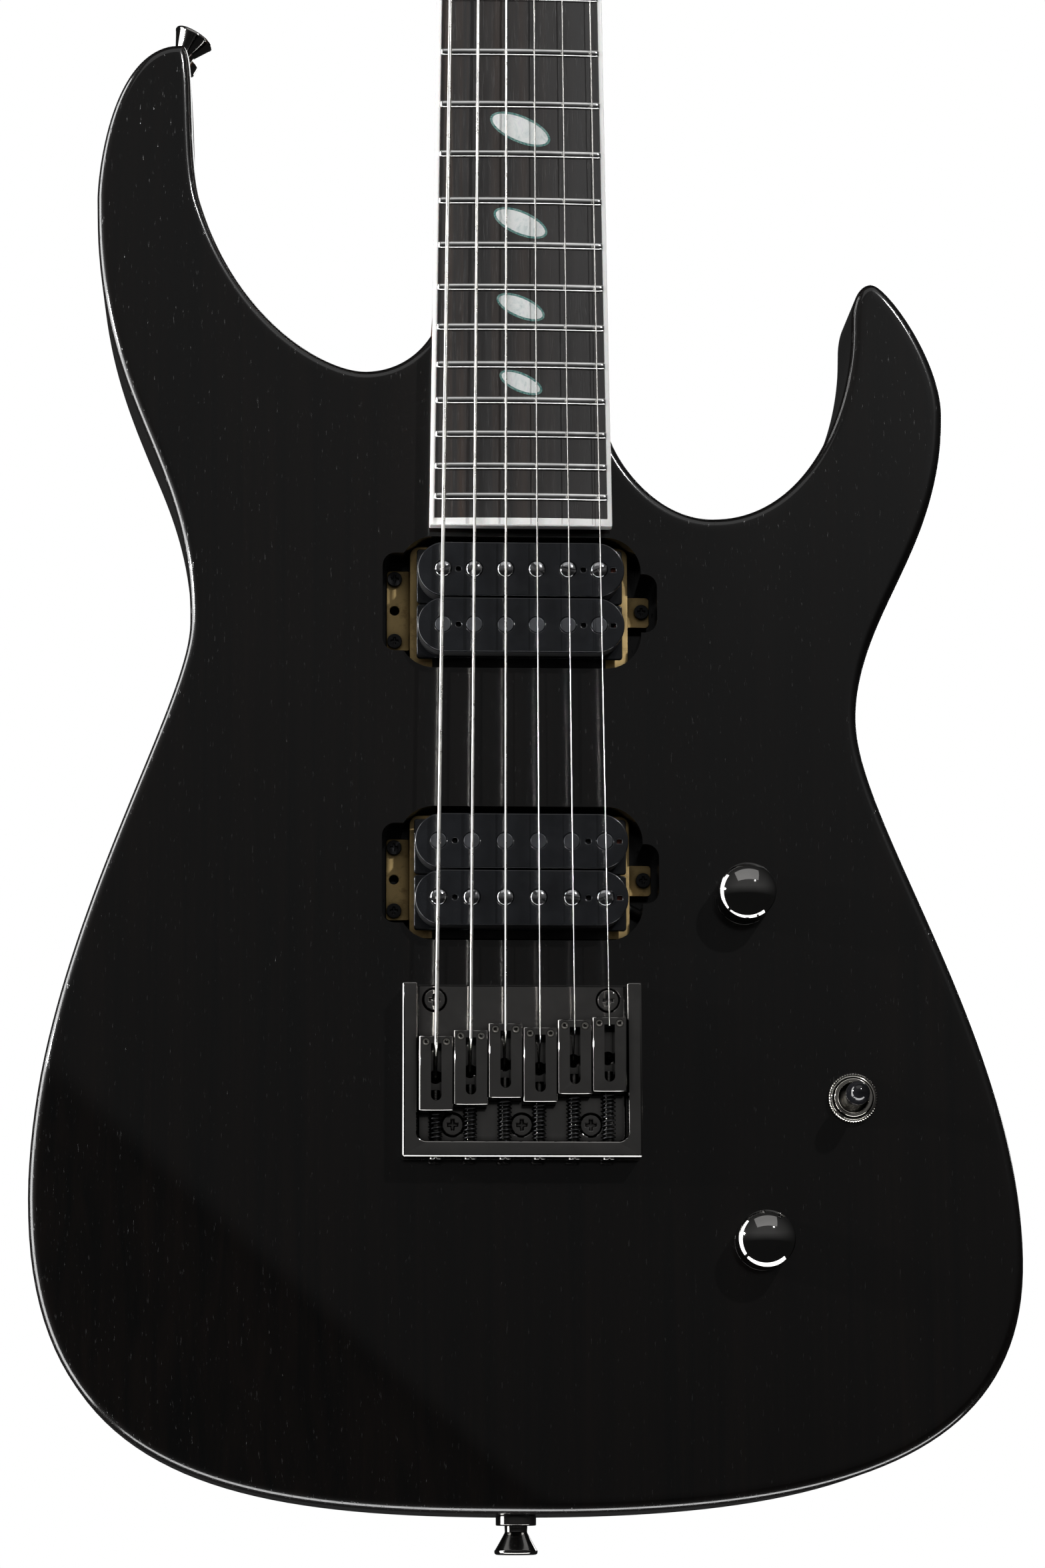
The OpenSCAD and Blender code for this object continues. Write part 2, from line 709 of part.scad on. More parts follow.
// Each spring's envelope, from its saddle back to the rear wall
module intonation_springs() {
    wall = plate_rear + rear_wall_t;
    color([0.4, 0.4, 0.42]) upright() for (i = STRINGS) {
        y = saddle_front[i] - saddle_l - run_gap;
        translate([bridge_x(i), wall + run_gap, intonation_z]) rotate([-90, 0, 0]) difference() {
            cylinder(r = spring_r, h = y - wall - run_gap);
            translate([0, 0, -past]) cylinder(r = intonation_r + 0.1, h = 30);
        }
    }
}

// ---------------------------------------------------------------- pickups

// The baseplate's left and right legs step down to ears that screw to the cavity floor
module pickup_baseplates() {
    color([0.72, 0.58, 0.33]) upright() for (p = PICKUPS) translate([0, p[0], 0]) {
        difference() {
            translate([0, 0, base_top - base_t]) linear_extrude(base_t) round_rect(68, 38.5, 3);
            for (k = STRINGS) translate([p[2] * (k - 2.5), p[3] * row_y, 0])
                cylinder(r = screw_shank_r + 0.1, h = 60);
        }
        for (s = [-1, 1]) {
            w = s < 0 ? 25.5 : 9.7;
            translate([s * 33.5 - 0.5, -w / 2, ear_z]) cube([1, w, base_top - ear_z - 0.5]);
            difference() {
                translate([s * 37.3, 0, ear_z]) linear_extrude(base_t) round_rect(7.6, w, 1.2);
                for (y = s < 0 ? [-9.9, 0, 9.9] : [0]) translate([s * ear_x, y, 0])
                    cylinder(r = 1.45, h = 60);
            }
        }
    }
}

module pickup_bobbins() {
    color([0.05, 0.05, 0.06]) upright() for (p = PICKUPS, s = [-1, 1])
        translate([0, p[0] + s * row_y, pickup_top]) difference() {
            union() {
                translate([0, 0, -flange_t]) linear_extrude(flange_t) stadium(p[1], bobbin_w);
                translate([0, 0, -bobbin_h]) linear_extrude(bobbin_h) stadium(p[1] - 8.9, 8);
                translate([0, 0, -bobbin_h]) linear_extrude(1.4) round_rect(p[1], bobbin_w + 0.2, 1);
            }
            // peg holes between the outer poles, and the window over the winding
            for (k = [-2, 2]) translate([p[2] * k, 0, -3]) cylinder(r = 0.8, h = 4);
            translate([p[2] * 2.5 + 4.4, 0, 0]) cube([1.6, 1.3, 4], center = true);
            for (k = STRINGS) translate([p[2] * (k - 2.5), 0, 0])
                if (s == p[3]) {
                    translate([0, 0, -20]) cylinder(r = screw_shank_r + seat_gap, h = 30);
                    translate([0, 0, -1.5]) cylinder(r = screw_head_r + seat_gap, h = 3);
                } else {
                    translate([0, 0, -20]) cylinder(d = slug_d + 2 * seat_gap, h = 30);
                }
        }
}

module pickup_coils() {
    color([0.08, 0.08, 0.08]) upright() for (p = PICKUPS, s = [-1, 1])
        translate([0, p[0] + s * row_y, pickup_top - flange_t - coil_h + 0.02])
            linear_extrude(coil_h - 0.04) difference() {
                stadium(p[1] - 0.8, bobbin_w - 0.8);
                stadium(p[1] - 8.8, 8.1);
            }
}

module pickup_magnets() {
    color([0.3, 0.3, 0.3]) upright() for (p = PICKUPS)
        translate([-31, p[0] - 6.1, base_top + 0.05]) cube([62, 12.2, 3.3]);
}

module pole_screws() {
    color([0.25, 0.25, 0.27]) upright() for (p = PICKUPS, k = STRINGS)
        translate([p[2] * (k - 2.5), p[0] + p[3] * row_y, pickup_top]) {
            difference() {
                translate([0, 0, -1.45]) cylinder(r = screw_head_r, h = 2);
                rotate(37 * k + 20) translate([0, 0, 0.5]) cube([6, 0.8, 1.2], center = true);
            }
            translate([0, 0, -19]) cylinder(r = screw_shank_r, h = 17.6);
        }
}

module pole_slugs() {
    color([0.35, 0.35, 0.36]) upright() for (p = PICKUPS, k = STRINGS)
        translate([p[2] * (k - 2.5), p[0] - p[3] * row_y, pickup_top - 15.6])
            cylinder(d = slug_d, h = 15.6);
}

module pickup_screws() {
    color([0.08, 0.08, 0.08]) upright() for (p = PICKUPS, s = ear_screws)
        translate([s[0], p[0] + s[1], ear_z + base_t + 1.55]) pan_screw(2.3, 1.5, 1.2, 15);
}

// ---------------------------------------------------------------- controls

module pots() {
    color([0.6, 0.6, 0.6]) upright() for (p = [volume_at, tone_at]) translate([p[0], p[1], 0]) difference() {
        union() {
            translate([0, 0, body_t - control_wall - 10]) cylinder(r = 8, h = 9.6);
            translate([0, 0, body_t - control_wall - 2]) cylinder(r = bush_r, h = control_wall + 6);
        }
        translate([0, 0, body_t - control_wall - 8]) cylinder(r = shaft_r + run_gap, h = 40);
    }
}

module pot_shaft(at) {
    color([0.7, 0.7, 0.7]) upright() translate([at[0], at[1], body_t - control_wall - 7.8])
        cylinder(r = shaft_r, h = 26.6);
}

// A dome knob, hollow underneath to clear the panel nut
module dome_knob(at) {
    r = knob_d / 2;
    spread = asin(r / knob_dome_r);
    color([0.3, 0.3, 0.32]) upright() translate([at[0], at[1], body_t + 0.4]) difference() {
        rotate_extrude() polygon(concat(
            [[0, 0], [r - 0.5, 0], [r, 0.5]],
            [for (k = [16:-1:0]) [knob_dome_r * sin(spread * k / 16),
                knob_h - knob_dome_r * (1 - cos(spread * k / 16))]]));
        translate([0, 0, -past]) cylinder(r = 7, h = 4.8 + past);
        cylinder(r = shaft_r + 0.02, h = 11.9);
    }
}

module toggle_switch() {
    plate_z = body_t - control_wall - 7.5;
    color([0.7, 0.7, 0.68]) upright() translate([toggle_at[0], toggle_at[1], 0]) difference() {
        union() {
            translate([0, 0, plate_z]) cylinder(r = toggle_bush_r, h = body_t + 3.5 - plate_z);
            translate([-6.5, -15, plate_z]) cube([13, 30, 1.5]);
            for (s = [-1, 1]) translate([-4, s * 9 - 2.5, plate_z - 12]) cube([8, 5, 12]);
        }
        translate([0, 0, plate_z - past]) cylinder(r = toggle_bore_r, h = 40);
        translate([0, 0, toggle_pivot_z]) rotate([0, 90, 0])
            cylinder(r = pivot_pin_r + run_gap, h = 20, center = true);
    }
}

module toggle_lever() {
    color([0.6, 0.6, 0.6]) upright() translate([toggle_at[0], toggle_at[1], toggle_pivot_z]) {
        sphere(r = toggle_bore_r - run_gap);
        rotate([0, 90, 0]) cylinder(r = pivot_pin_r, h = 2 * toggle_bush_r - 0.4, center = true);
        translate([0, 0, -8]) cylinder(r = 1.4, h = 8);
        cylinder(r = 1.6, h = 22);
    }
}

module toggle_tip() {
    color([0.04, 0.04, 0.04]) upright()
        translate([toggle_at[0], toggle_at[1], toggle_pivot_z + 10.8]) difference() {
            rotate_extrude() polygon([[0, 0], [2.6, 0], [3.3, 2], [3.6, 6],
                [3.5, 10], [2.9, 12.6], [1.6, 13.6], [0, 13.7]]);
            translate([0, 0, -past]) cylinder(r = 1.6 + seat_gap, h = 12.3);
        }
}

// Panel nuts of the two pots, the toggle and the jack
module panel_nuts() {
    color([0.75, 0.75, 0.73]) upright() {
        for (p = [volume_at, tone_at]) translate([p[0], p[1], body_t + 0.02]) difference() {
            union() {
                cylinder(r = 6.4, h = 0.6);
                cylinder(r = 6, h = 2.6, $fn = 6);
            }
            translate([0, 0, -past]) cylinder(r = bush_r + seat_gap, h = 6);
        }
        translate([toggle_at[0], toggle_at[1], body_t + 0.02]) difference() {
            cylinder(d = toggle_nut_d, h = 2.4);
            translate([0, 0, -past]) cylinder(r = toggle_bush_r + seat_gap, h = 6);
        }
        jack_frame() translate([0, 0, 0.02]) difference() {
            union() {
                cylinder(r = 8.8, h = 0.6);
                cylinder(r = 8.2, h = 2.8, $fn = 6);
            }
            translate([0, 0, -past]) cylinder(r = jack_r + seat_gap, h = 6);
        }
    }
}

// A barrel jack: a threaded tube with the plug's bore along it
module output_jack() {
    color([0.5, 0.5, 0.5]) upright() jack_frame() difference() {
        translate([0, 0, -34]) cylinder(r = jack_r, h = 37.2);
        translate([0, 0, -30]) cylinder(r = jack_bore_r, h = 40);
    }
}

// Pickup leads, the leads between the controls, and the tone capacitor
module wiring() {
    lead = 1.4;
    bend = 0.8;     // rods run on this far at a bend, so that they join
    deck = body_t - control_wall - 13;
    tail = [jack_exit[0] - 40 * cos(jack_angle), jack_exit[1] - 40 * sin(jack_angle), body_t / 2];
    color([0.12, 0.12, 0.12]) upright() {
        for (run = [
            [[20, PICKUPS[0][0] - 12, 27], [20, PICKUPS[1][0] + 12, 27], [24, PICKUPS[1][0] + 8, 27]],
            [[30, PICKUPS[1][0] - 6, 27], [66, 20, 27], [72, 12, deck - 6], [92, -14, deck - 10]],
            [[76, 34, deck - 2], [84, 10, deck - 6], [90, -10, deck - 6]],
            [[66, 28, deck - 2], [64, -20, deck - 8], [66, -58, deck - 2]],
            [[82, -72, deck - 2], [96, -72, body_t / 2], tail]])
            path(run, lead, bend);
        // the capacitor
        rod([76, -30, deck - 6], [76, -44, deck - 6], 3.5, 3.5);
    }
}

module rear_cover() {
    color([0.05, 0.05, 0.05]) upright() difference() {
        translate([0, 0, 0.05]) linear_extrude(cover_t) grown(CONTROL_CORNERS, lip_r - 0.15);
        for (p = COVER_SCREWS) translate([p[0], p[1], 0.15]) mirror([0, 0, 1]) sunk_hole(2.9, 1.3, 6);
    }
}

// ---------------------------------------------------------------- strings and machine heads

module strings() {
    color([0.8, 0.78, 0.72]) upright() for (i = STRINGS) {
        r = string_r[i];
        back = string_hole_y(i);
        bends = [
            [bridge_x(i), back, 7],
            [bridge_x(i), back, plate_floor - 0.5],
            [bridge_x(i), saddle_front[i] - break_back, saddle_string_z(i)],
            [nut_x(i), scale_len + nut_t + 0.2, nut_string_z(i)],
            head_point([post_string_x(i), post_v(i), post_string_z + 2 * r + 0.02])];
        path(bends, r);
        for (k = [1:3]) translate(bends[k]) sphere(r = 1.15 * r);
        translate([bridge_x(i), back, 5.2]) cylinder(r = 1.95, h = 3.3);
        // two turns round the post
        for (k = [0, 1]) head_frame() translate([post_u(i), post_v(i), post_string_z - k * (2 * r + 0.02)])
            rotate_extrude() translate([post_r + r + run_gap, 0]) circle(r = r, $fn = 24);
    }
}

// A point of the headstock's frame on the bench
function head_point(p) = [
    p[0],
    head_y + p[1] * cos(head_tilt) + p[2] * sin(head_tilt),
    head_z - p[1] * sin(head_tilt) + p[2] * cos(head_tilt)];

module tuner_housings() {
    color([0.2, 0.2, 0.21]) upright() for (i = STRINGS) tuner_frame(i) difference() {
        union() {
            translate([-8.5, -6.2, -head_t - 9]) cube([17, 18, 8.95]);
            translate([0, -8.4, -head_t - 2.6]) cylinder(r = 3, h = 2.55);
            translate([-3, -8.4, -head_t - 2.6]) cube([6, 5, 2.55]);
            rod([-8, worm_y, worm_z], [-12.5, worm_y, worm_z], 3.4, 3.4);
        }
        translate([0, 0, -head_t - 6.6]) cylinder(r = wheel_r + 0.1, h = 3.8);
        translate([0, 0, -head_t - 6]) cylinder(r = post_r + run_gap, h = 10);
        rod([5.1, worm_y, worm_z], [-5.1, worm_y, worm_z], worm_r + 0.1, worm_r + 0.1);
        rod([0, worm_y, worm_z], [-14, worm_y, worm_z], 2 + run_gap, 2 + run_gap);
        translate([0, -8.6, -head_t - 4]) cylinder(r = 1.1 + seat_gap, h = 6);
    }
}

module tuner_bushings() {
    color([0.3, 0.3, 0.32]) upright() for (i = STRINGS) tuner_frame(i) {
        difference() {
            union() {
                translate([0, 0, -11]) cylinder(r = 4.9, h = 12);
                translate([0, 0, 0.75]) cylinder(r = 6.4, h = 3, $fn = 6);
            }
            translate([0, 0, -12]) cylinder(r = post_r + run_gap, h = 20);
        }
        difference() {
            translate([0, 0, 0.02]) cylinder(r = 7.2, h = 0.7);
            translate([0, 0, -past]) cylinder(r = 4.95, h = 3);
        }
    }
}

module tuner_post(i) {
    color([0.3, 0.3, 0.32]) upright() tuner_frame(i) {
        difference() {
            union() {
                translate([0, 0, -head_t - 6.4]) cylinder(r = post_r, h = head_t + 18);
                translate([0, 0, -head_t - 6.5]) cylinder(r = wheel_r, h = 3.6);
                translate([0, 0, 11.6]) cylinder(r1 = post_r, r2 = post_r - 0.8, h = 1);
            }
            rotate([90, 0, 0]) translate([0, 9.4, -10]) cylinder(r = 0.8, h = 20);
        }
    }
}

// The button on its worm shaft
module tuner_button(i) {
    color([0.3, 0.3, 0.32]) upright() tuner_frame(i) {
        rod([5, worm_y, worm_z], [-5, worm_y, worm_z], worm_r, worm_r);
        rod([-5, worm_y, worm_z], [-17, worm_y, worm_z], 2, 2);
        translate([-23, worm_y, worm_z]) intersection() {
            translate([0, 0, -3.6]) cylinder(r = 8.6, h = 7.2);
            translate([-6.9, -10, -5]) cube([13.8, 20, 10]);
        }
    }
}

// ---------------------------------------------------------------- output

body();
neck();
fingerboard();
fingerboard_binding();
frets();
inlays();
nut();
truss_rod();
truss_rod_cover();
wood_screws();
ferrules();
strap_buttons();
bridge_plate();
saddle(0);  // saddle_1
saddle(1);  // saddle_2
saddle(2);  // saddle_3
saddle(3);  // saddle_4
saddle(4);  // saddle_5
saddle(5);  // saddle_6
intonation_screw(0);  // intonation_screw_1
intonation_screw(1);  // intonation_screw_2
intonation_screw(2);  // intonation_screw_3
intonation_screw(3);  // intonation_screw_4
intonation_screw(4);  // intonation_screw_5
intonation_screw(5);  // intonation_screw_6
intonation_springs();
pickup_baseplates();
pickup_bobbins();
pickup_coils();
pickup_magnets();
pole_screws();
pole_slugs();
pickup_screws();
pots();
pot_shaft(volume_at);  // volume_pot_shaft
pot_shaft(tone_at);  // tone_pot_shaft
dome_knob(volume_at);  // volume_knob
dome_knob(tone_at);  // tone_knob
toggle_switch();
toggle_lever();
toggle_tip();
panel_nuts();
output_jack();
wiring();
rear_cover();
strings();
tuner_housings();
tuner_bushings();
tuner_post(0);  // tuner_post_1
tuner_post(1);  // tuner_post_2
tuner_post(2);  // tuner_post_3
tuner_post(3);  // tuner_post_4
tuner_post(4);  // tuner_post_5
tuner_post(5);  // tuner_post_6
tuner_button(0);  // tuner_button_1
tuner_button(1);  // tuner_button_2
tuner_button(2);  // tuner_button_3
tuner_button(3);  // tuner_button_4
tuner_button(4);  // tuner_button_5
tuner_button(5);  // tuner_button_6
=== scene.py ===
"""Looks of the electric guitar: finishes, rounded and wound shapes, soft light and camera.

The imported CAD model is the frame. Metres throughout: X to the treble side, Y out of the back,
Z up the neck. A "height" here is the distance in front of the body's flat back, which is -Y.
"""
import json
import math
import bmesh
import bpy
import numpy as np
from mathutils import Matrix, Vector, geometry

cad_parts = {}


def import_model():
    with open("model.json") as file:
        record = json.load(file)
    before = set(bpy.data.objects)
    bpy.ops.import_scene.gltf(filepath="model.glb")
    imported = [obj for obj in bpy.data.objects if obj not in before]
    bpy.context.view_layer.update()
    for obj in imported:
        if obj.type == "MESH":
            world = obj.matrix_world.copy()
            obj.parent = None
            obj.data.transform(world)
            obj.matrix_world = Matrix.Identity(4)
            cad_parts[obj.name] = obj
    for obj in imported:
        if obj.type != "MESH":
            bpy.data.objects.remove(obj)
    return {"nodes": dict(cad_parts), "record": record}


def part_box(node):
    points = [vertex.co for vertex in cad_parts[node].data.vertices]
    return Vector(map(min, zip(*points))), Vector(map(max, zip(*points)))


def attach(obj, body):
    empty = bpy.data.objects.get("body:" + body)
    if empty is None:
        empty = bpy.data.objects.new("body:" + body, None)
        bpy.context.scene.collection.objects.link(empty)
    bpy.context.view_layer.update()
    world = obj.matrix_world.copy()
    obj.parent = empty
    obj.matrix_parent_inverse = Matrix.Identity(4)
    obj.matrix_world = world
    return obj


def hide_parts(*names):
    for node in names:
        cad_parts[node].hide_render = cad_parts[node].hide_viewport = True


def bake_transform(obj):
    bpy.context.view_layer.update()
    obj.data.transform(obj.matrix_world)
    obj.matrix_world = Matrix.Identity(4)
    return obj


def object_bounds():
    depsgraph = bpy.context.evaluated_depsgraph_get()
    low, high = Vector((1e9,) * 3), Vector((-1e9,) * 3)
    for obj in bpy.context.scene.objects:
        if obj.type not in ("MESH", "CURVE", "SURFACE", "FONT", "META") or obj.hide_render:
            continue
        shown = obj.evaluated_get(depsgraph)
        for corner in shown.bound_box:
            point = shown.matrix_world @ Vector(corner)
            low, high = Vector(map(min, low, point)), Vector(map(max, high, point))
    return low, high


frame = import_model()
CAD_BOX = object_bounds()
RECORD = frame["record"]
NODES = frame["nodes"]
BODIES = RECORD["behaviour"]["bodies"]
BODY_OF = {node: body for body, nodes in BODIES.items() for node in nodes}
SLOT_OF = {part["node"]: part["material_slot"] for part in RECORD["subparts"]}
MOUNTS = {mount["name"]: mount for mount in RECORD["mounts"]}

MM = 0.001
WELD = 0.002 * MM            # vertices closer than this are one vertex
SLIT = 0.004 * MM            # and after the cuts, closer than this
SHARP = 38                   # degrees; an edge that turns more is shaded as an edge
CUT = 1e-7                   # vertices this close to a cutting plane lie on it, in metres
STRINGS = range(1, 7)        # string 1 is the lowest; the saddles are numbered the same way

# ---------------------------------------------------------------- node-based materials


LOOK = {}                    # every finish by its name


class Finish:
    """A Principled material whose inputs are fed by short calls; it goes into LOOK."""

    def __init__(self, name, **values):
        LOOK[name] = bpy.data.materials.new(name)
        LOOK[name].use_nodes = True
        self.tree = LOOK[name].node_tree
        self.shader = self.tree.nodes["Principled BSDF"]
        self.coords = self.node("ShaderNodeTexCoord").outputs["Object"]
        for key, value in values.items():
            self.feed(key.replace("_", " ").title(), value)

    def node(self, kind, inputs=None, **settings):
        made = self.tree.nodes.new(kind)
        for key, value in settings.items():
            setattr(made, key, value)
        for key, value in (inputs or {}).items():
            self.join(made.inputs[key], value)
        return made

    def join(self, socket, value):
        if isinstance(value, bpy.types.NodeSocket):
            self.tree.links.new(value, socket)
        elif isinstance(value, tuple) and len(value) == 3 and socket.type == "RGBA":
            socket.default_value = (*value, 1)
        else:
            socket.default_value = value

    def feed(self, name, value):
        """Feeds one of the shader's own inputs."""
        fixed = name.replace("Ior", "IOR")
        self.join(self.shader.inputs[fixed], value)

    def stretched(self, scale):
        """Object coordinates in metres, scaled per axis to cycles a metre."""
        return self.node("ShaderNodeMapping", {"Vector": self.coords, "Scale": scale}).outputs[0]

    def noise(self, scale, detail=3, rough=0.5, distortion=0):
        return self.node("ShaderNodeTexNoise", {
            "Vector": self.stretched(scale), "Scale": 1.0, "Detail": detail,
            "Roughness": rough, "Distortion": distortion}).outputs["Fac"]

    def wander(self, scale, low, high, detail=3, rough=0.5, ends=(0.3, 0.7)):
        """A value or colour that drifts between two with a noise."""
        return self.ramp(self.noise(scale, detail, rough), (ends[0], low), (ends[1], high))

    def ramp(self, factor, *stops):
        """A colour or grey ramp; each stop is (place, colour or grey)."""
        made = self.node("ShaderNodeValToRGB", {"Fac": factor})
        elements = made.color_ramp.elements
        while len(elements) < len(stops):
            elements.new(0.5)
        for element, (place, colour) in zip(elements, stops):
            element.position = place
            element.color = (*colour, 1) if isinstance(colour, tuple) else (colour,) * 3 + (1,)
        return made.outputs["Color"]

    def blend(self, factor, a, b):
        made = self.node("ShaderNodeMix", data_type="RGBA")
        for socket, value in zip((made.inputs[0], made.inputs[6], made.inputs[7]), (factor, a, b)):
            self.join(socket, value)
        return made.outputs[2]

    def maths(self, operation, a, b=0.0):
        made = self.node("ShaderNodeMath", operation=operation)
        self.join(made.inputs[0], a)
        self.join(made.inputs[1], b)
        return made.outputs[0]

    def bump(self, height, depth, strength=1.0, before=None):
        """Raises the surface by height, whose full scale is depth metres."""
        made = self.node("ShaderNodeBump", {"Height": height, "Distance": depth, "Strength": strength})
        if before is not None:
            self.join(made.inputs["Normal"], before)
        self.join(self.shader.inputs["Normal"], made.outputs[0])
        return made.outputs[0]


def body_finish():
    """See-through black over open-pored wood: faint brown grain, fine upright pores, satin coat."""
    f = Finish("body_finish", coat_weight=1.0, coat_ior=1.5)
    grain = f.noise((170, 170, 5), 6, 0.62, 0.6)
    cloud = f.noise((14, 14, 3), 2)
    dark = f.ramp(grain, (0.35, (0.0006, 0.0006, 0.0006)), (0.75, (0.0030, 0.0019, 0.0015)))
    f.feed("Base Color", f.blend(f.ramp(cloud, (0.4, 0.0), (0.75, 0.6)), dark, (0.0008, 0.0007, 0.0007)))
    pores = f.wander((1700, 1700, 240), 0.0, 1.0, 2, 0.6, (0.65, 0.75))
    f.feed("Roughness", f.blend(pores, (0.38, 0.38, 0.38), (0.62, 0.62, 0.62)))
    f.feed("Coat Roughness", f.blend(pores, f.wander((24, 24, 10), 0.09, 0.15, 2), (0.35, 0.35, 0.35)))
    f.feed("Specular IOR Level", 0.08)
    soft = f.bump(f.noise((420, 420, 22), 3), 0.010 * MM)
    f.feed("Coat Normal", f.bump(f.maths("SUBTRACT", 1.0, pores), 0.028 * MM, before=soft))


def neck_wood():
    """Oiled brown wood with straight dark grain."""
    f = Finish("neck_wood", coat_weight=0.25)
    grain = f.noise((230, 120, 4), 7, 0.65, 1.2)
    f.feed("Base Color", f.ramp(grain, (0.25, (0.055, 0.024, 0.013)), (0.55, (0.115, 0.055, 0.028)),
                                (0.8, (0.17, 0.09, 0.045))))
    f.feed("Roughness", f.wander((60, 60, 20), 0.34, 0.46))
    f.feed("Coat Roughness", 0.3)
    f.bump(f.noise((1400, 1400, 50), 2), 0.03 * MM)


def fingerboard_wood():
    """Ebony: nearly black, with brown streaks that lean to the bass side."""
    f = Finish("fingerboard_wood")
    streaks = f.noise((330, 60, 2.6), 5, 0.6, 0.4)
    across = f.node("ShaderNodeSeparateXYZ", {"Vector": f.coords}).outputs["X"]
    bass = f.node("ShaderNodeMapRange", {
        "Value": across, "From Min": -0.026, "From Max": 0.012, "To Min": 1.0, "To Max": 0.12}).outputs[0]
    shade = f.ramp(streaks, (0.44, 0.0), (0.72, 1.0))
    f.feed("Base Color", f.blend(f.maths("MULTIPLY", shade, bass),
                                 (0.024, 0.023, 0.023), (0.058, 0.038, 0.028)))
    pores = f.wander((2400, 900, 110), 1.0, 0.0, 2, 0.6, (0.58, 0.68))
    f.feed("Roughness", f.wander((500, 500, 40), 0.36, 0.50))
    f.feed("Specular IOR Level", 0.3)
    f.bump(pores, 0.03 * MM)


def binding_plastic():
    """White plastic, a little see-through, buffed along its length."""
    f = Finish("binding_plastic", coat_weight=0.4, coat_roughness=0.12)
    f.feed("Base Color", f.wander((90, 90, 30), (0.88, 0.87, 0.85), (0.94, 0.94, 0.93)))
    f.feed("Roughness", f.wander((800, 800, 800), 0.26, 0.36, 2))
    f.feed("Subsurface Weight", 0.08)
    f.feed("Subsurface Scale", 1.5 * MM)
    f.bump(f.noise((300, 300, 60), 2), 0.01 * MM)


def metal(name, colour, low, high, scale=(700, 700, 700), depth=0.004, worn=None, painted_shade_reach=0):
    """Any plated or plain metal: roughness wanders between low and high, with faint tooling marks
    depth millimetres deep, and within the given reach in millimetres of a neighbour its colour is darkened
    with painted shade."""
    f = Finish(name, metallic=1.0)
    tint = tuple(c * 0.82 for c in colour)
    smudge = f.noise((70, 70, 70), 4, 0.6, 0.5)
    base = f.ramp(smudge, (0.3, tint), (0.65, colour))
    if worn:
        patches = f.ramp(f.noise((210, 210, 210), 5, 0.7), (0.52, 0.0), (0.68, 1.0))
        base = f.blend(patches, base, worn)
    # painted shade: where ambient occlusion finds a neighbour close by, the colour darkens as the shade in
    # slots and gaps would
    if painted_shade_reach:
        open_air = f.node("ShaderNodeAmbientOcclusion", {"Distance": painted_shade_reach * MM}, samples=8).outputs["AO"]
        base = f.blend(f.ramp(open_air, (0.3, 0.0), (0.95, 1.0)), tuple(c * 0.12 for c in colour), base)
    f.feed("Base Color", base)
    f.feed("Roughness", f.ramp(smudge, (0.3, low), (0.7, high)))
    f.bump(f.noise(scale, 2), depth * MM)


def pearl():
    """Mother-of-pearl: pale sheets of green, blue and rose with a thin-film sheen."""
    f = Finish("pearl", roughness=0.16, coat_weight=1.0, coat_roughness=0.05)
    sheets = f.noise((230, 230, 110), 5, 0.62, 2.4)
    f.feed("Base Color", f.ramp(
        sheets, (0.25, (0.50, 0.57, 0.57)), (0.42, (0.78, 0.82, 0.81)), (0.55, (0.90, 0.91, 0.89)),
        (0.68, (0.78, 0.77, 0.82)), (0.8, (0.58, 0.66, 0.70))))
    f.feed("Metallic", 0.12)
    f.feed("Thin Film Thickness", 380)
    f.bump(sheets, 0.02 * MM)


def abalone():
    """Darker shell for the inlays' rims, swirled in green, blue and violet."""
    f = Finish("abalone", roughness=0.18, coat_weight=1.0, coat_roughness=0.05, metallic=0.35)
    swirl = f.noise((620, 620, 480), 4, 0.7, 3.0)
    f.feed("Base Color", f.ramp(
        swirl, (0.3, (0.03, 0.12, 0.12)), (0.45, (0.10, 0.30, 0.27)), (0.58, (0.34, 0.50, 0.44)),
        (0.7, (0.22, 0.18, 0.36)), (0.8, (0.05, 0.16, 0.24))))
    f.feed("Thin Film Thickness", 520)
    f.bump(swirl, 0.015 * MM)


def moulded(name, colour, low, high, depth=0.006):
    """Moulded black plastic, rubber or lacquer with a faint orange-peel."""
    f = Finish(name, ior=1.5)
    lighter = tuple(c * 1.5 for c in colour)
    f.feed("Base Color", f.wander((120, 120, 120), colour, lighter, 4, ends=(0.35, 0.7)))
    f.feed("Roughness", f.wander((260, 260, 260), low, high, 4, 0.6))
    f.bump(f.noise((1300, 1300, 1300), 3), depth * MM)


def coil_tape():
    """Black tape round the coil; the enamelled copper shows on the faces under the flange."""
    f = Finish("coil_tape", roughness=0.45)
    front = f.node("ShaderNodeNewGeometry").outputs["Normal"]
    facing = f.node("ShaderNodeSeparateXYZ", {"Vector": front}).outputs["Y"]
    wound = f.ramp(f.maths("MULTIPLY", facing, -1.0), (0.5, 0.0), (0.6, 1.0))
    strands = f.wander((300, 300, 9000), (0.16, 0.025, 0.012), (0.42, 0.09, 0.04), 2, ends=(0.35, 0.65))
    cloth = f.wander((2600, 2600, 2600), (0.008, 0.008, 0.008), (0.02, 0.02, 0.021), 2)
    f.feed("Base Color", f.blend(wound, cloth, strands))
    f.bump(f.noise((2600, 2600, 2600), 2), 0.02 * MM)


def wound_string():
    """Nickel wrap wire, dulled a little by playing."""
    f = Finish("wound_string", metallic=1.0)
    f.feed("Base Color", f.wander((400, 400, 60), (0.66, 0.64, 0.60), (0.86, 0.84, 0.80)))
    f.feed("Roughness", f.wander((90, 90, 200), 0.24, 0.34, 2))
    f.bump(f.noise((3000, 3000, 3000), 2), 0.004 * MM)


PAPER_GREY = 0.86            # how far the paper's own colour is darkened; its glow makes up for it


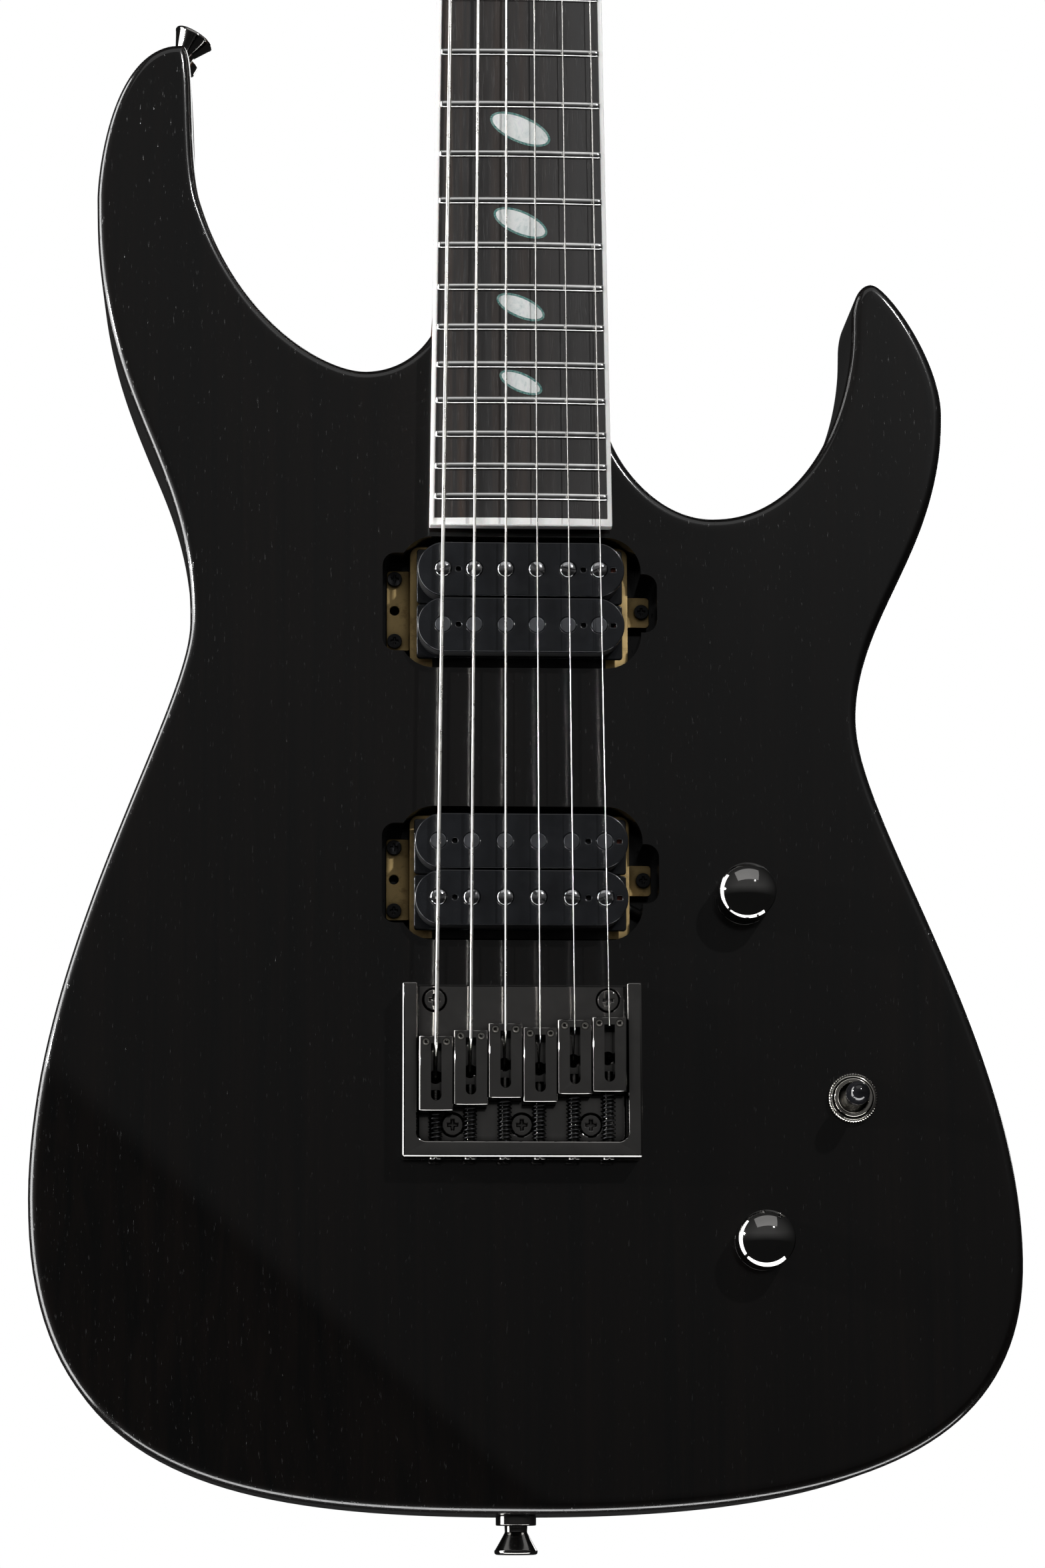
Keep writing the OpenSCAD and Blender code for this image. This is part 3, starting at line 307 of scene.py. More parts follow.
def backdrop_paper():
    """Pale paper, glowing a little as if lit evenly from all round."""
    f = Finish("backdrop_paper", roughness=0.9, specular_ior_level=0.0, emission_strength=0.62)
    tone = f.wander((3, 3, 3), (0.90, 0.90, 0.89), (0.94, 0.94, 0.93))
    f.feed("Base Color", f.blend(PAPER_GREY, tone, (0.0, 0.0, 0.0)))
    f.feed("Emission Color", tone)
    f.bump(f.noise((90, 90, 90), 3), 0.05 * MM)


body_finish()
neck_wood()
fingerboard_wood()
binding_plastic()
metal("fret_steel", (0.80, 0.80, 0.79), 0.12, 0.22, scale=(60, 900, 3000))
pearl()
abalone()
metal("steel", (0.60, 0.59, 0.57), 0.24, 0.42)
moulded("black_plastic", (0.0068, 0.0074, 0.0088), 0.14, 0.24)
moulded("tip_gloss", (0.006, 0.006, 0.007), 0.04, 0.09, 0.001)
coil_tape()
metal("black_screw", (0.045, 0.045, 0.047), 0.28, 0.45)
# black chrome, brass, the pole screws and nickel take painted shade near their neighbours
metal("black_chrome", (0.27, 0.262, 0.254), 0.05, 0.11, depth=0.002, painted_shade_reach=3.0)
metal("knob_gloss", (0.24, 0.235, 0.23), 0.03, 0.06, depth=0.001)
metal("brass", (0.74, 0.54, 0.25), 0.34, 0.50, worn=(0.42, 0.29, 0.13), depth=0.01, painted_shade_reach=3.0)
metal("magnet", (0.15, 0.15, 0.155), 0.5, 0.7, depth=0.03)
metal("pole_metal", (0.10, 0.104, 0.112), 0.30, 0.42)
metal("pole_screw", (0.40, 0.40, 0.41), 0.08, 0.16, painted_shade_reach=0.8)
metal("nickel", (0.66, 0.63, 0.58), 0.08, 0.18, depth=0.002, painted_shade_reach=1.6)
moulded("wire_cover", (0.012, 0.012, 0.012), 0.5, 0.65, 0.02)
metal("string_metal", (0.86, 0.84, 0.80), 0.10, 0.18, scale=(900, 900, 40), depth=0.002)
wound_string()
RECORD_SLOTS = {m["slot"] for m in RECORD["materials"]}

# ---------------------------------------------------------------- mesh helpers


def welded(node):
    """A CAD node's mesh as a bmesh, its split corners joined again."""
    bm = bmesh.new()
    bm.from_mesh(NODES[node].data)
    bmesh.ops.remove_doubles(bm, verts=bm.verts, dist=WELD)
    return bm


def solids(bm):
    """The separate solids of a bmesh, each as a list of its vertices."""
    left, found = set(bm.verts), []
    for seed in bm.verts:
        if seed not in left:
            continue
        left.discard(seed)
        group, edge = [seed], [seed]
        while edge:
            vertex = edge.pop()
            for link in vertex.link_edges:
                other = link.other_vert(vertex)
                if other in left:
                    left.discard(other)
                    group.append(other)
                    edge.append(other)
        found.append(group)
    return found


def span(vertices):
    """Lowest and highest corner of some vertices."""
    co = np.array([v.co for v in vertices])
    return Vector(co.min(0)), Vector(co.max(0))


def middle(low, high):
    """The centre of a box."""
    return (low + high) / 2


def placed(name, data):
    """A new object in the scene."""
    made = bpy.data.objects.new(name, data)
    bpy.context.scene.collection.objects.link(made)
    return made


def even_shading(piece):
    """Large flat faces keep their own shading next to a rounded edge."""
    modifier = piece.modifiers.new("even_shading", "WEIGHTED_NORMAL")
    modifier.mode = "FACE_AREA_WITH_ANGLE"
    modifier.keep_sharp = True


def piece_of(bm, name, look, body, node, sharp=SHARP, slot=None, even=False):
    """Turns a bmesh into a piece that stands in for a node, smooth but for edges over the sharp angle.

    It rides on the body, if one is given. Its record slot, the look's or else the node's, is worked out but
    not kept."""
    bmesh.ops.recalc_face_normals(bm, faces=bm.faces)
    mesh = bpy.data.meshes.new(name)
    bm.to_mesh(mesh)
    bm.free()
    mesh.shade_smooth()
    mesh.set_sharp_from_angle(angle=math.radians(sharp))
    mesh.materials.append(LOOK[look])
    piece = placed(name, mesh)
    slot or (look if look in RECORD_SLOTS else SLOT_OF[node])
    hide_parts(node)
    if body:
        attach(piece, body)
    if even:
        even_shading(piece)
    return piece


ON_SIDE = 0.02 * MM          # a vertex this close to a side of its box lies on it
FLAT = 0.6                   # degrees; faces that turn less are joined into one


def on_box(edge, low, high):
    """Whether an edge lies along an edge of the box, that is, on two of its sides."""
    sides = 0
    for axis in range(3):
        for side in (low[axis], high[axis]):
            sides += all(abs(v.co[axis] - side) < ON_SIDE for v in edge.verts)
    return sides > 1


def round_edges(bm, width, segments=2, angle=28, box_only=False):
    """Joins flat neighbours into whole faces and rounds every edge sharper than angle.

    A block full of fine holes can have only the edges of its box rounded."""
    bmesh.ops.dissolve_limit(
        bm, angle_limit=math.radians(FLAT), verts=bm.verts, edges=bm.edges, delimit=set())
    turn = math.radians(angle)
    sharp = [e for e in bm.edges if len(e.link_faces) == 2 and e.calc_face_angle() > turn]
    if box_only:
        low, high = span(bm.verts)
        sharp = [e for e in sharp if on_box(e, low, high)]
    bmesh.ops.bevel(
        bm, geom=sharp, offset=width, offset_type="OFFSET", segments=segments, profile=0.5,
        affect="EDGES", clamp_overlap=False)


def finished(node, width, segments=2, keep=None, name=None, look=None, slot=None, box_only=False):
    """A CAD node's own shape with its edges rounded; keep picks some of its solids by their box."""
    bm = welded(node)
    if keep:
        gone = [v for group in solids(bm) if not keep(*span(group)) for v in group]
        bmesh.ops.delete(bm, geom=gone, context="VERTS")
    round_edges(bm, width, segments, box_only=box_only)
    piece_of(bm, name or node + "_finished", look or SLOT_OF[node], BODY_OF[node], node,
             slot=slot, even=True)


def grid_faces(rows, columns):
    """Quads between rows of points, each row closed into a ring."""
    faces = []
    for r in range(0, (rows - 1) * columns, columns):
        for c in range(columns):
            d = (c + 1) % columns
            faces.append((r + c, r + d, r + columns + d, r + columns + c))
    return faces


def end_faces(rows, columns):
    """The two faces that close the first and the last row of a tube of points."""
    return [tuple(range(columns)), tuple(range((rows - 1) * columns, rows * columns))]


def last_to_first(rows, columns):
    """Quads that join the last row back to the first, which makes a ring of the tube."""
    last = (rows - 1) * columns
    return [(last + k, last + (k + 1) % columns, (k + 1) % columns, k) for k in range(columns)]


def bmesh_from(points, faces):
    """A bmesh of points and faces; a corner named twice in a face, or a face given twice, is skipped."""
    bm = bmesh.new()
    made = [bm.verts.new(p) for p in points]
    for face in faces:
        corners = [made[i] for i in dict.fromkeys(face)]
        if len(corners) > 2 and bm.faces.get(corners) is None:
            bm.faces.new(corners)
    return bm


def basis(axis):
    """Three square directions, the last along axis."""
    w = Vector(axis).normalized()
    u = w.orthogonal().normalized()
    return u, w.cross(u), w


def turned(at, axis, profile, turns, wave=None):
    """Rings of points round an axis, one for each (radius, height) of the profile."""
    u, v, w = basis(axis)
    points = []
    for radius, height in profile:
        for k in range(turns):
            a = 2 * math.pi * k / turns
            r = wave(radius, a) if wave else radius
            points.append(Vector(at) + u * (r * math.cos(a)) + v * (r * math.sin(a)) + w * height)
    return points


def lathe(at, axis, profile, turns=64):
    """A turned solid."""
    rows = len(profile)
    bm = bmesh_from(turned(at, axis, profile, turns), grid_faces(rows, turns) + end_faces(rows, turns))
    bmesh.ops.remove_doubles(bm, verts=bm.verts, dist=WELD)
    return bm


def ring_lathe(at, axis, profile, turns, wave):
    """A turned ring with a hole through it, its radii changed by wave(radius, angle)."""
    rows = len(profile)
    faces = grid_faces(rows, turns) + last_to_first(rows, turns)
    return bmesh_from(turned(at, axis, profile, turns, wave), faces)


def arc(centre, radius, start, stop, steps):
    """Points of an arc in a profile, in degrees."""
    angles = [math.radians(start + (stop - start) * k / steps) for k in range(steps + 1)]
    return [(centre[0] + radius * math.cos(a), centre[1] + radius * math.sin(a)) for a in angles]


def prism(loop, low, high):
    """A closed prism over a plan loop of (x, z) points, between two heights."""
    n = len(loop)
    points = [(x, -h, z) for h in (low, high) for x, z in loop]
    faces = grid_faces(2, n) + [tuple(range(n)), tuple(range(2 * n - 1, n - 1, -1))]
    return bmesh_from(points, faces)


def merged(parts):
    """Several bmeshes in one."""
    whole = bmesh.new()
    for part in parts:
        scratch = bpy.data.meshes.new("scratch")
        bmesh.ops.recalc_face_normals(part, faces=part.faces)
        part.to_mesh(scratch)
        part.free()
        whole.from_mesh(scratch)
        bpy.data.meshes.remove(scratch)
    return whole


def close_slits(piece):
    """Welds the hair-thin slits that the cuts can leave, and fills any that stay open."""
    bm = bmesh.new()
    bm.from_mesh(piece.data)
    bmesh.ops.remove_doubles(bm, verts=bm.verts, dist=SLIT)
    loose = [e for e in bm.edges if len(e.link_faces) == 1]
    if loose:
        bmesh.ops.holes_fill(bm, edges=loose, sides=0)
    bm.to_mesh(piece.data)
    bm.free()


def cut(piece, cutters):
    """Takes the cutters out of a piece and keeps the result as its mesh."""
    mesh = bpy.data.meshes.new("cutter")
    tool_bm = merged(cutters)
    tool_bm.to_mesh(mesh)
    tool_bm.free()
    tool = placed("cutter", mesh)
    modifier = piece.modifiers.new("cut", "BOOLEAN")
    modifier.object = tool
    modifier.operation = "DIFFERENCE"
    modifier.solver = "EXACT"
    graph = bpy.context.evaluated_depsgraph_get()
    result = bpy.data.meshes.new_from_object(piece.evaluated_get(graph))
    piece.modifiers.remove(modifier)
    old, piece.data = piece.data, result
    bpy.data.meshes.remove(old)
    bpy.data.objects.remove(tool)
    bpy.data.meshes.remove(mesh)
    result.set_sharp_from_angle(angle=math.radians(SHARP))


def bisected(bm, point, normal, drop=False):
    """Cuts the faces of a bmesh along a plane and gives the new edges; may drop the side behind it."""
    everything = bm.verts[:] + bm.edges[:] + bm.faces[:]
    made = bmesh.ops.bisect_plane(
        bm, geom=everything, dist=CUT, plane_co=Vector(point), plane_no=Vector(normal), clear_inner=drop)
    return [g for g in made["geom_cut"] if isinstance(g, bmesh.types.BMEdge)]


def trim(bm, point, normal):
    """Cuts away the side of a bmesh behind the plane and closes the cut."""
    edges = bisected(bm, point, normal, drop=True)
    if edges:
        bmesh.ops.holes_fill(bm, edges=edges, sides=0)


def cut_loops(node, point, normal):
    """Loops of points where a plane cuts a CAD node, the one round the largest area first."""
    bm = welded(node)
    links = {}
    for edge in bisected(bm, point, normal):
        for a, b in (edge.verts, reversed(edge.verts)):
            links.setdefault(a, []).append(b)
    loops, seen = [], set()
    for seed in links:
        if seed in seen:
            continue
        loop, here = [], seed
        while here is not None:
            seen.add(here)
            loop.append(here.co.copy())
            here = next((n for n in links[here] if n not in seen), None)
        if len(loop) > 2:
            loops.append(loop)
    bm.free()
    u, v, _ = basis(normal)
    return sorted(loops, key=lambda loop: -abs(area([(p.dot(u), p.dot(v)) for p in loop])))


def area(loop):
    """Signed area of a plan loop."""
    p = np.array(loop)
    q = np.roll(p, -1, 0)
    return 0.5 * float(np.sum(p[:, 0] * q[:, 1] - q[:, 0] * p[:, 1]))


def plan_loops(node, height):
    """Plan outlines, as arrays of (x, z), where a node is cut at a height, largest first."""
    loops = [np.array([(p.x, p.z) for p in loop])
             for loop in cut_loops(node, (0, -height, 0), (0, -1, 0))]
    return [loop if area(loop) > 0 else loop[::-1] for loop in loops]


# ---------------------------------------------------------------- body shell

EDGE_ROUND = 3 * MM          # radius of the body's edge all round
EDGE_STEPS = 7               # rows of faces over that rounding
LEVEL = 1.6 * MM             # a flat margin inside the rounding keeps the big faces flat-shaded
LATTICE = 12 * MM            # and so does a lattice of points across them
CREASE_BLEND = 0.9 * MM      # how far heights blend where the forearm bevel starts
DISH_BLEND = 0.5 * MM        # and where the belly dish in the back starts
CLEAR_HEIGHT = 11 * MM       # a cut here meets no pocket, so it gives the plain outline
CONTROL_HEIGHT = 12 * MM     # a cut here shows the control cavity
SKIN = 0.5 * MM              # a cut this far under the front shows every bore and pocket in it
PICKUP_DEPTH = 20 * MM       # of the pickups' pockets, from the front
CONTROL_TOP = 36 * MM        # height of the control cavity's roof
CONTROL_SIDE = 50 * MM       # bores further to the treble side than this go into that cavity
BORE_FLOOR = 9 * MM          # the strings' bores start at this height, inside their ferrules
COVER_RECESS = 2.5 * MM
NECK_FERRULE = 3.1 * MM      # depth of the recesses for the ferrules in the back
STRING_FERRULE = 10.2 * MM
POCKET_AREA = 1500 * MM**2   # plan area over which a cut is a pickup's pocket or the cover's recess
FERRULE_AREA = 100 * MM**2   # and over which a recess is a neck ferrule's
NECK_GAP = 0.08 * MM         # round the neck in its pocket
HEEL = (0.2, 0.02)           # the neck pocket's floor is found this far up, within this distance
PROUD = 2 * MM               # cutters stand this far out of the wood


def corner_turns(loop):
    """How far the loop turns at each point, in degrees."""
    before = loop - np.roll(loop, 1, 0)
    after = np.roll(loop, -1, 0) - loop
    cross = before[:, 0] * after[:, 1] - before[:, 1] * after[:, 0]
    return np.degrees(np.arctan2(cross, (before * after).sum(1)))


def smooth_loop(loop, steps=3, corner=25):
    """The loop with points on straight runs dropped and curves drawn between the rest."""
    loop = loop[np.abs(corner_turns(loop)) > 0.05]
    turns = np.abs(corner_turns(loop))
    n = len(loop)
    points = []
    for i in range(n):
        b, c = loop[i], loop[(i + 1) % n]
        a = 2 * b - c if turns[i] > corner else loop[i - 1]
        d = 2 * c - b if turns[(i + 1) % n] > corner else loop[(i + 2) % n]
        size = np.linalg.norm(c - b)
        m0 = (c - a) / (np.linalg.norm(b - a) + size) * size
        m1 = (d - b) / (size + np.linalg.norm(d - c)) * size
        for k in range(steps):
            t = k / steps
            points.append((2 * t**3 - 3 * t**2 + 1) * b + (t**3 - 2 * t**2 + t) * m0
                          + (3 * t**2 - 2 * t**3) * c + (t**3 - t**2) * m1)
    return np.array(points)


def inward(loop):
    """The direction into a counter-clockwise loop at each point, longer at corners."""
    before = loop - np.roll(loop, 1, 0)
    after = np.roll(loop, -1, 0) - loop
    a = before / np.linalg.norm(before, axis=1)[:, None]
    b = after / np.linalg.norm(after, axis=1)[:, None]
    normal = np.stack([-(a + b)[:, 1], (a + b)[:, 0]], 1)
    normal /= np.linalg.norm(normal, axis=1)[:, None]
    half = np.sqrt(np.clip((1 + (a * b).sum(1)) / 2, 0.4, 1))
    return normal / half[:, None]


def gap_to(points, loop):
    """Distance from each point to the loop."""
    a, b = loop[None], np.roll(loop, -1, 0)[None]
    p = points[:, None]
    # neighbours that coincide make a zero length
    t = np.clip(((p - a) * (b - a)).sum(2) / np.maximum(((b - a) ** 2).sum(2), 1e-15), 0, 1)[..., None]
    return np.linalg.norm(p - (a + t * (b - a)), axis=2).min(1)


def inside(points, loop):
    """Whether each point lies inside the loop."""
    x, y = points[:, 0][:, None], points[:, 1][:, None]
    a, b = loop, np.roll(loop, -1, 0)
    crosses = (a[:, 1] > y) != (b[:, 1] > y)
    at = (b[:, 0] - a[:, 0]) * (y - a[:, 1]) / (b[:, 1] - a[:, 1] + 1e-12) + a[:, 0]
    return (crosses & (x < at)).sum(1) % 2 == 1


def inset(loop, distance):
    """The loop moved inwards; points that cross over at a tight corner meet in one point."""
    moved = loop + inward(loop) * distance
    bad = gap_to(moved, loop) < distance - ON_SIDE
    n = len(loop)
    if bad.all() or not bad.any():
        return moved
    start = int(np.argmin(bad))
    i = 0
    while i < n:
        k = (start + i) % n
        if not bad[k]:
            i += 1
            continue
        run = 0
        while bad[(k + run) % n]:
            run += 1
        meet = (moved[k - 1] + moved[(k + run) % n]) / 2
        for j in range(run):
            moved[(k + j) % n] = meet
        i += run
    return moved


def soft_min(a, b, blend):
    """The lesser of two heights, with a smooth change from one to the other."""
    t = np.clip(0.5 + 0.5 * (b - a) / blend, 0, 1)
    return b * (1 - t) + a * t - blend * t * (1 - t)


class BodyForm:
    """The body's faces as heights over the plan, read off the CAD node."""

    def __init__(self):
        """Fits a plane to the forearm bevel and a sphere to the belly dish."""
        mesh = NODES["body"].data
        self.front = -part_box("body")[0].y
        normals = np.array([p.normal for p in mesh.polygons])
        centres = np.array([p.center for p in mesh.polygons])
        areas = np.array([p.area for p in mesh.polygons])
        slope = (normals[:, 1] < -0.9) & (normals[:, 1] > -0.999)
        largest = normals[np.argmax(np.where(slope, areas, 0))]
        slope &= normals @ largest > 0.9995
        self.normal = np.average(normals[slope], axis=0, weights=areas[slope])
        self.anchor = np.average(centres[slope], axis=0, weights=areas[slope])
        dished = (normals[:, 1] > 0.5) & (normals[:, 1] < 0.9999) & (centres[:, 1] > -CLEAR_HEIGHT)
        dished &= centres[:, 0] < 0
        corners = sorted({v for p in np.flatnonzero(dished) for v in mesh.polygons[p].vertices})
        p = np.array([mesh.vertices[v].co for v in corners])
        p = p[-p[:, 1] > 0.3 * MM]
        fit = np.linalg.lstsq(np.c_[2 * p, np.ones(len(p))], (p**2).sum(1), rcond=None)[0]
        self.centre = fit[:3]
        self.radius = math.sqrt(fit[3] + float(fit[:3] @ fit[:3]))

    def slope_height(self, plan):
        dx, dz = plan[:, 0] - self.anchor[0], plan[:, 1] - self.anchor[2]
        return -(self.anchor[1] - (self.normal[0] * dx + self.normal[2] * dz) / self.normal[1])

    def front_height(self, plan):
        return soft_min(np.full(len(plan), self.front), self.slope_height(plan), CREASE_BLEND)

    def dish_height(self, plan):
        away = (plan[:, 0] - self.centre[0]) ** 2 + (plan[:, 1] - self.centre[2]) ** 2
        return np.sqrt(np.maximum(self.radius**2 - away, 0)) - self.centre[1]

    def back_height(self, plan):
        return -soft_min(np.zeros(len(plan)), -self.dish_height(plan), DISH_BLEND)

    def crease_points(self):
        """Points along the start of the bevel, in rows a few millimetres apart."""
        down = np.array([self.normal[0], self.normal[2]])
        down /= np.linalg.norm(down)
        along = np.array([-down[1], down[0]])
        foot = np.array([self.anchor[0], self.anchor[2]])
        drop = self.front - self.slope_height(foot[None])[0]
        tilt = math.hypot(self.normal[0], self.normal[2]) / abs(self.normal[1])
        start = foot - down * drop / tilt
        reach = CREASE_BLEND / tilt
        rows = [start + down * o * reach for o in (-1.4, -1, -0.6, -0.2, 0.2, 0.6, 1, 1.4)]
        return np.array([row + along * s * MM for row in rows for s in range(-300, 301, 5)])

    def dish_points(self):
        steps = np.arange(-150, 151, 6) * MM
        grid = np.array([(self.centre[0] + x, self.centre[2] + z) for x in steps for z in steps])
        return grid[self.dish_height(grid) > -0.8 * MM]


def cap(ring, extra, height):
    """Triangles that fill a ring, with extra points inside it, lifted to their heights."""
    low, high = ring.min(0), ring.max(0)
    lattice = np.array([(x, z) for x in np.arange(low[0], high[0], LATTICE)
                        for z in np.arange(low[1], high[1], LATTICE)])
    clear = np.linalg.norm(lattice[:, None] - extra[None], axis=2).min(1) > LATTICE / 2
    extra = np.concatenate([extra, lattice[clear]])
    near = gap_to(extra, ring) > 1.2 * MM
    extra = extra[near & inside(extra, ring)]
    plan = np.concatenate([ring, extra])
    edges = [(i, (i + 1) % len(ring)) for i in range(len(ring))]
    made = geometry.delaunay_2d_cdt([Vector(p) for p in plan], edges, [], 1, 1e-7)
    flat = np.array([tuple(v) for v in made[0]])
    points = [(x, -h, z) for (x, z), h in zip(flat, height(flat))]
    return bmesh_from(points, [tuple(f) for f in made[2]])


def axis_cutter(mount, from_seat, length, radius):
    """A cylinder along a mount's axis, starting from_seat past the mount's place."""
    axis = Vector(MOUNTS[mount]["axis"])
    at = Vector(MOUNTS[mount]["pos_m"]) + axis * from_seat
    return lathe(at, axis, [(radius, 0), (radius, length)], 48)


def body_shell():
    """The body with its rounded edge, bevel and dish, and every pocket and bore of the CAD cut in it."""
    form = BodyForm()
    outline = smooth_loop(plan_loops("body", CLEAR_HEIGHT)[0])
    angles = [math.pi / 2 * k / EDGE_STEPS for k in range(EDGE_STEPS + 1)]
    rings = []
    for face, sign in ((form.front_height, -1), (form.back_height, 1)):
        side = []
        for a in angles:
            loop = inset(outline, EDGE_ROUND * (1 - math.cos(a)))
            side.append((loop, face(loop) + sign * EDGE_ROUND * (1 - math.sin(a))))
        level = inset(outline, EDGE_ROUND + LEVEL)
        side.append((level, face(level)))
        rings += side[::-1] if sign < 0 else side
    points = [(x, -h, z) for loop, heights in rings for (x, z), h in zip(loop, heights)]
    bm = merged([
        bmesh_from(points, grid_faces(len(rings), len(outline))),
        cap(rings[0][0], form.crease_points(), form.front_height),
        cap(rings[-1][0], form.dish_points(), form.back_height)])
    bmesh.ops.remove_doubles(bm, verts=bm.verts, dist=WELD)
    bmesh.ops.dissolve_degenerate(bm, edges=bm.edges, dist=WELD)
    shell = piece_of(bm, "body_shell", "body_finish", None, "body")

    top = form.front + PROUD
    up, near = HEEL
    heel_floor = max(-v.co.y for v in NODES["body"].data.vertices if abs(v.co.z - up) < near
                     and abs(v.co.x) < near and -v.co.y < form.front - 5 * MM)
    neck_plan = plan_loops("neck", -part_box("fingerboard")[1].y - 0.3 * MM)[0]
    first = [prism(inset(neck_plan, -NECK_GAP), heel_floor, form.front + 30 * MM)]
    second = [prism(plan_loops("body", CONTROL_HEIGHT)[1], 2 * MM, CONTROL_TOP)]
    for loop in plan_loops("body", form.front - SKIN)[1:]:
        if abs(area(loop)) > POCKET_AREA:
            first.append(prism(loop, form.front - PICKUP_DEPTH, top))
        else:
            over_controls = loop[:, 0].min() > CONTROL_SIDE
            second.append(prism(loop, CONTROL_TOP - 1 * MM if over_controls else BORE_FLOOR, top))
    for loop in plan_loops("body", 1 * MM)[1:]:
        size = abs(area(loop))
        small = NECK_FERRULE if size > FERRULE_AREA else STRING_FERRULE
        first.append(prism(loop, -1 * MM, COVER_RECESS if size > POCKET_AREA else small))
    # seats of the strap buttons, then the wide and the narrow bore of the jack
    for name in ("strap_button_lower", "strap_button_upper"):
        second.append(axis_cutter(name, -4 * MM, 12 * MM, 6.75 * MM))
    for cutters in (first, second, [axis_cutter("output_jack_bore", 10 * MM, 12 * MM, 10 * MM)],
                    [axis_cutter("output_jack_bore", -42 * MM, 60 * MM, 6.05 * MM)]):
        cut(shell, cutters)
    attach(shell, "root")
    close_slits(shell)
    even_shading(shell)


# ---------------------------------------------------------------- neck, frets and inlays


def crown_radius():
    """Radius of the fingerboard's top, from its height at the centre and at its edge."""
    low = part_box("fingerboard")[0]
    mesh = NODES["fingerboard"].data
    end = [v.co for v in mesh.vertices if v.co.z < low.z + 0.5 * MM]
    edge = max(end, key=lambda c: (round(c.x, 5), -c.y))
    sag = edge.y - low.y
    return (edge.x**2 + sag**2) / (2 * sag)


CROWN = crown_radius()
BOARD_TOP = -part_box("fingerboard")[0].y
FRET_STEPS = 9               # points over a fret's crown
FILED = 0.048                # share of a fret's half length over which its end is filed down
CROWN_WIDTH = 1.5 * MM       # solids narrower than this are tangs


def board_height(x):
    """Height of the crowned board at a distance from its middle."""
    return BOARD_TOP - (CROWN - math.sqrt(CROWN**2 - x * x))


def frets():
    """Each fret as a rounded crown with filed ends, over the CAD fret's own length."""
    bm = welded("frets")
    crowns = sorted({(round(low.z, 6), round(high.z, 6), round(high.x, 6))
                     for low, high in map(span, solids(bm)) if high.z - low.z > CROWN_WIDTH})
    tall = -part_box("frets")[0].y - BOARD_TOP
    parts = []
    for low_z, high_z, half in crowns:
        z, w = (low_z + high_z) / 2, (high_z - low_z) / 2
        stations = [-1 + 0.012 * k for k in range(5)] + list(np.linspace(-0.94, 0.94, 25))
        stations += [1 - 0.012 * k for k in range(4, -1, -1)]
        points = []
        for s in stations:
            filed = min(1.0, (1 - abs(s)) / FILED)
            rise = tall * (0.12 + 0.88 * math.sqrt(1 - (1 - filed) ** 2))
            width = w * (0.72 + 0.28 * filed)
            base = board_height(s * half) - 0.02 * MM
            for k in range(FRET_STEPS):
                a = math.pi * k / (FRET_STEPS - 1)
                lift = rise * math.sin(a) ** 0.75
                points.append((s * half, -(base + lift), z + width * math.cos(a)))
        rows = len(stations)
        parts.append(bmesh_from(points, grid_faces(rows, FRET_STEPS) + end_faces(rows, FRET_STEPS)))
    piece_of(merged(parts), "fret_crowns", "fret_steel", "root", "frets", 60)
    bm.free()


OVAL_STEPS = 40
RIM = 0.7 * MM               # width of the abalone round an inlay, at most


def oval(at, long, wide, tilt, height):
    """Points of a tilted oval that lies on the crowned board, raised by height."""
    points = []
    for k in range(OVAL_STEPS):
        a = 2 * math.pi * k / OVAL_STEPS
        x, z = long * math.cos(a), wide * math.sin(a)
        px = at[0] + x * math.cos(tilt) - z * math.sin(tilt)
        pz = at[1] + x * math.sin(tilt) + z * math.cos(tilt)
        points.append((px, -(board_height(px) + height), pz))
    return points


def inlays():
    """Pearl ovals with a thin abalone rim, let in flush with the crown."""
    bm = welded("inlays")
    hearts, rims = [], []
    for group in solids(bm):
        co = np.array([(v.co.x, v.co.z) for v in group])
        centre = co.mean(0)
        far = co[np.argmax(np.linalg.norm(co - centre, axis=1))] - centre
        tilt = math.atan2(far[1], far[0])
        side = np.array([-math.sin(tilt), math.cos(tilt)])
        long = float(np.linalg.norm(far))
        wide = float(np.abs((co - centre) @ side).max())
        rim = min(RIM, wide * 0.28)
        # each row of points as how far it is drawn in, its scale, and its height over the board
        outer = ((0, 1, -1.0 * MM), (0, 1, 0.03 * MM), (rim, 1, 0.05 * MM), (rim, 1, -1.0 * MM))
        inner = ((rim, 0.995, -1.0 * MM), (rim, 0.995, 0.04 * MM), (rim, 0.8, 0.07 * MM),
                 (rim, 0.45, 0.09 * MM))
        for rows, closing, into in ((outer, last_to_first, rims), (inner, end_faces, hearts)):
            points = [p for by, scale, height in rows
                      for p in oval(centre, (long - by) * scale, (wide - by) * scale, tilt, height)]
            into.append(bmesh_from(points, grid_faces(4, OVAL_STEPS) + closing(4, OVAL_STEPS)))
    bm.free()
    piece_of(merged(hearts), "inlay_hearts", "pearl", "root", "inlays")
    piece_of(merged(rims), "inlay_rims", "abalone", "root", "inlays")


# ---------------------------------------------------------------- strings and springs


COILED = 80                  # degrees; tubes are shaded smooth but for their ends


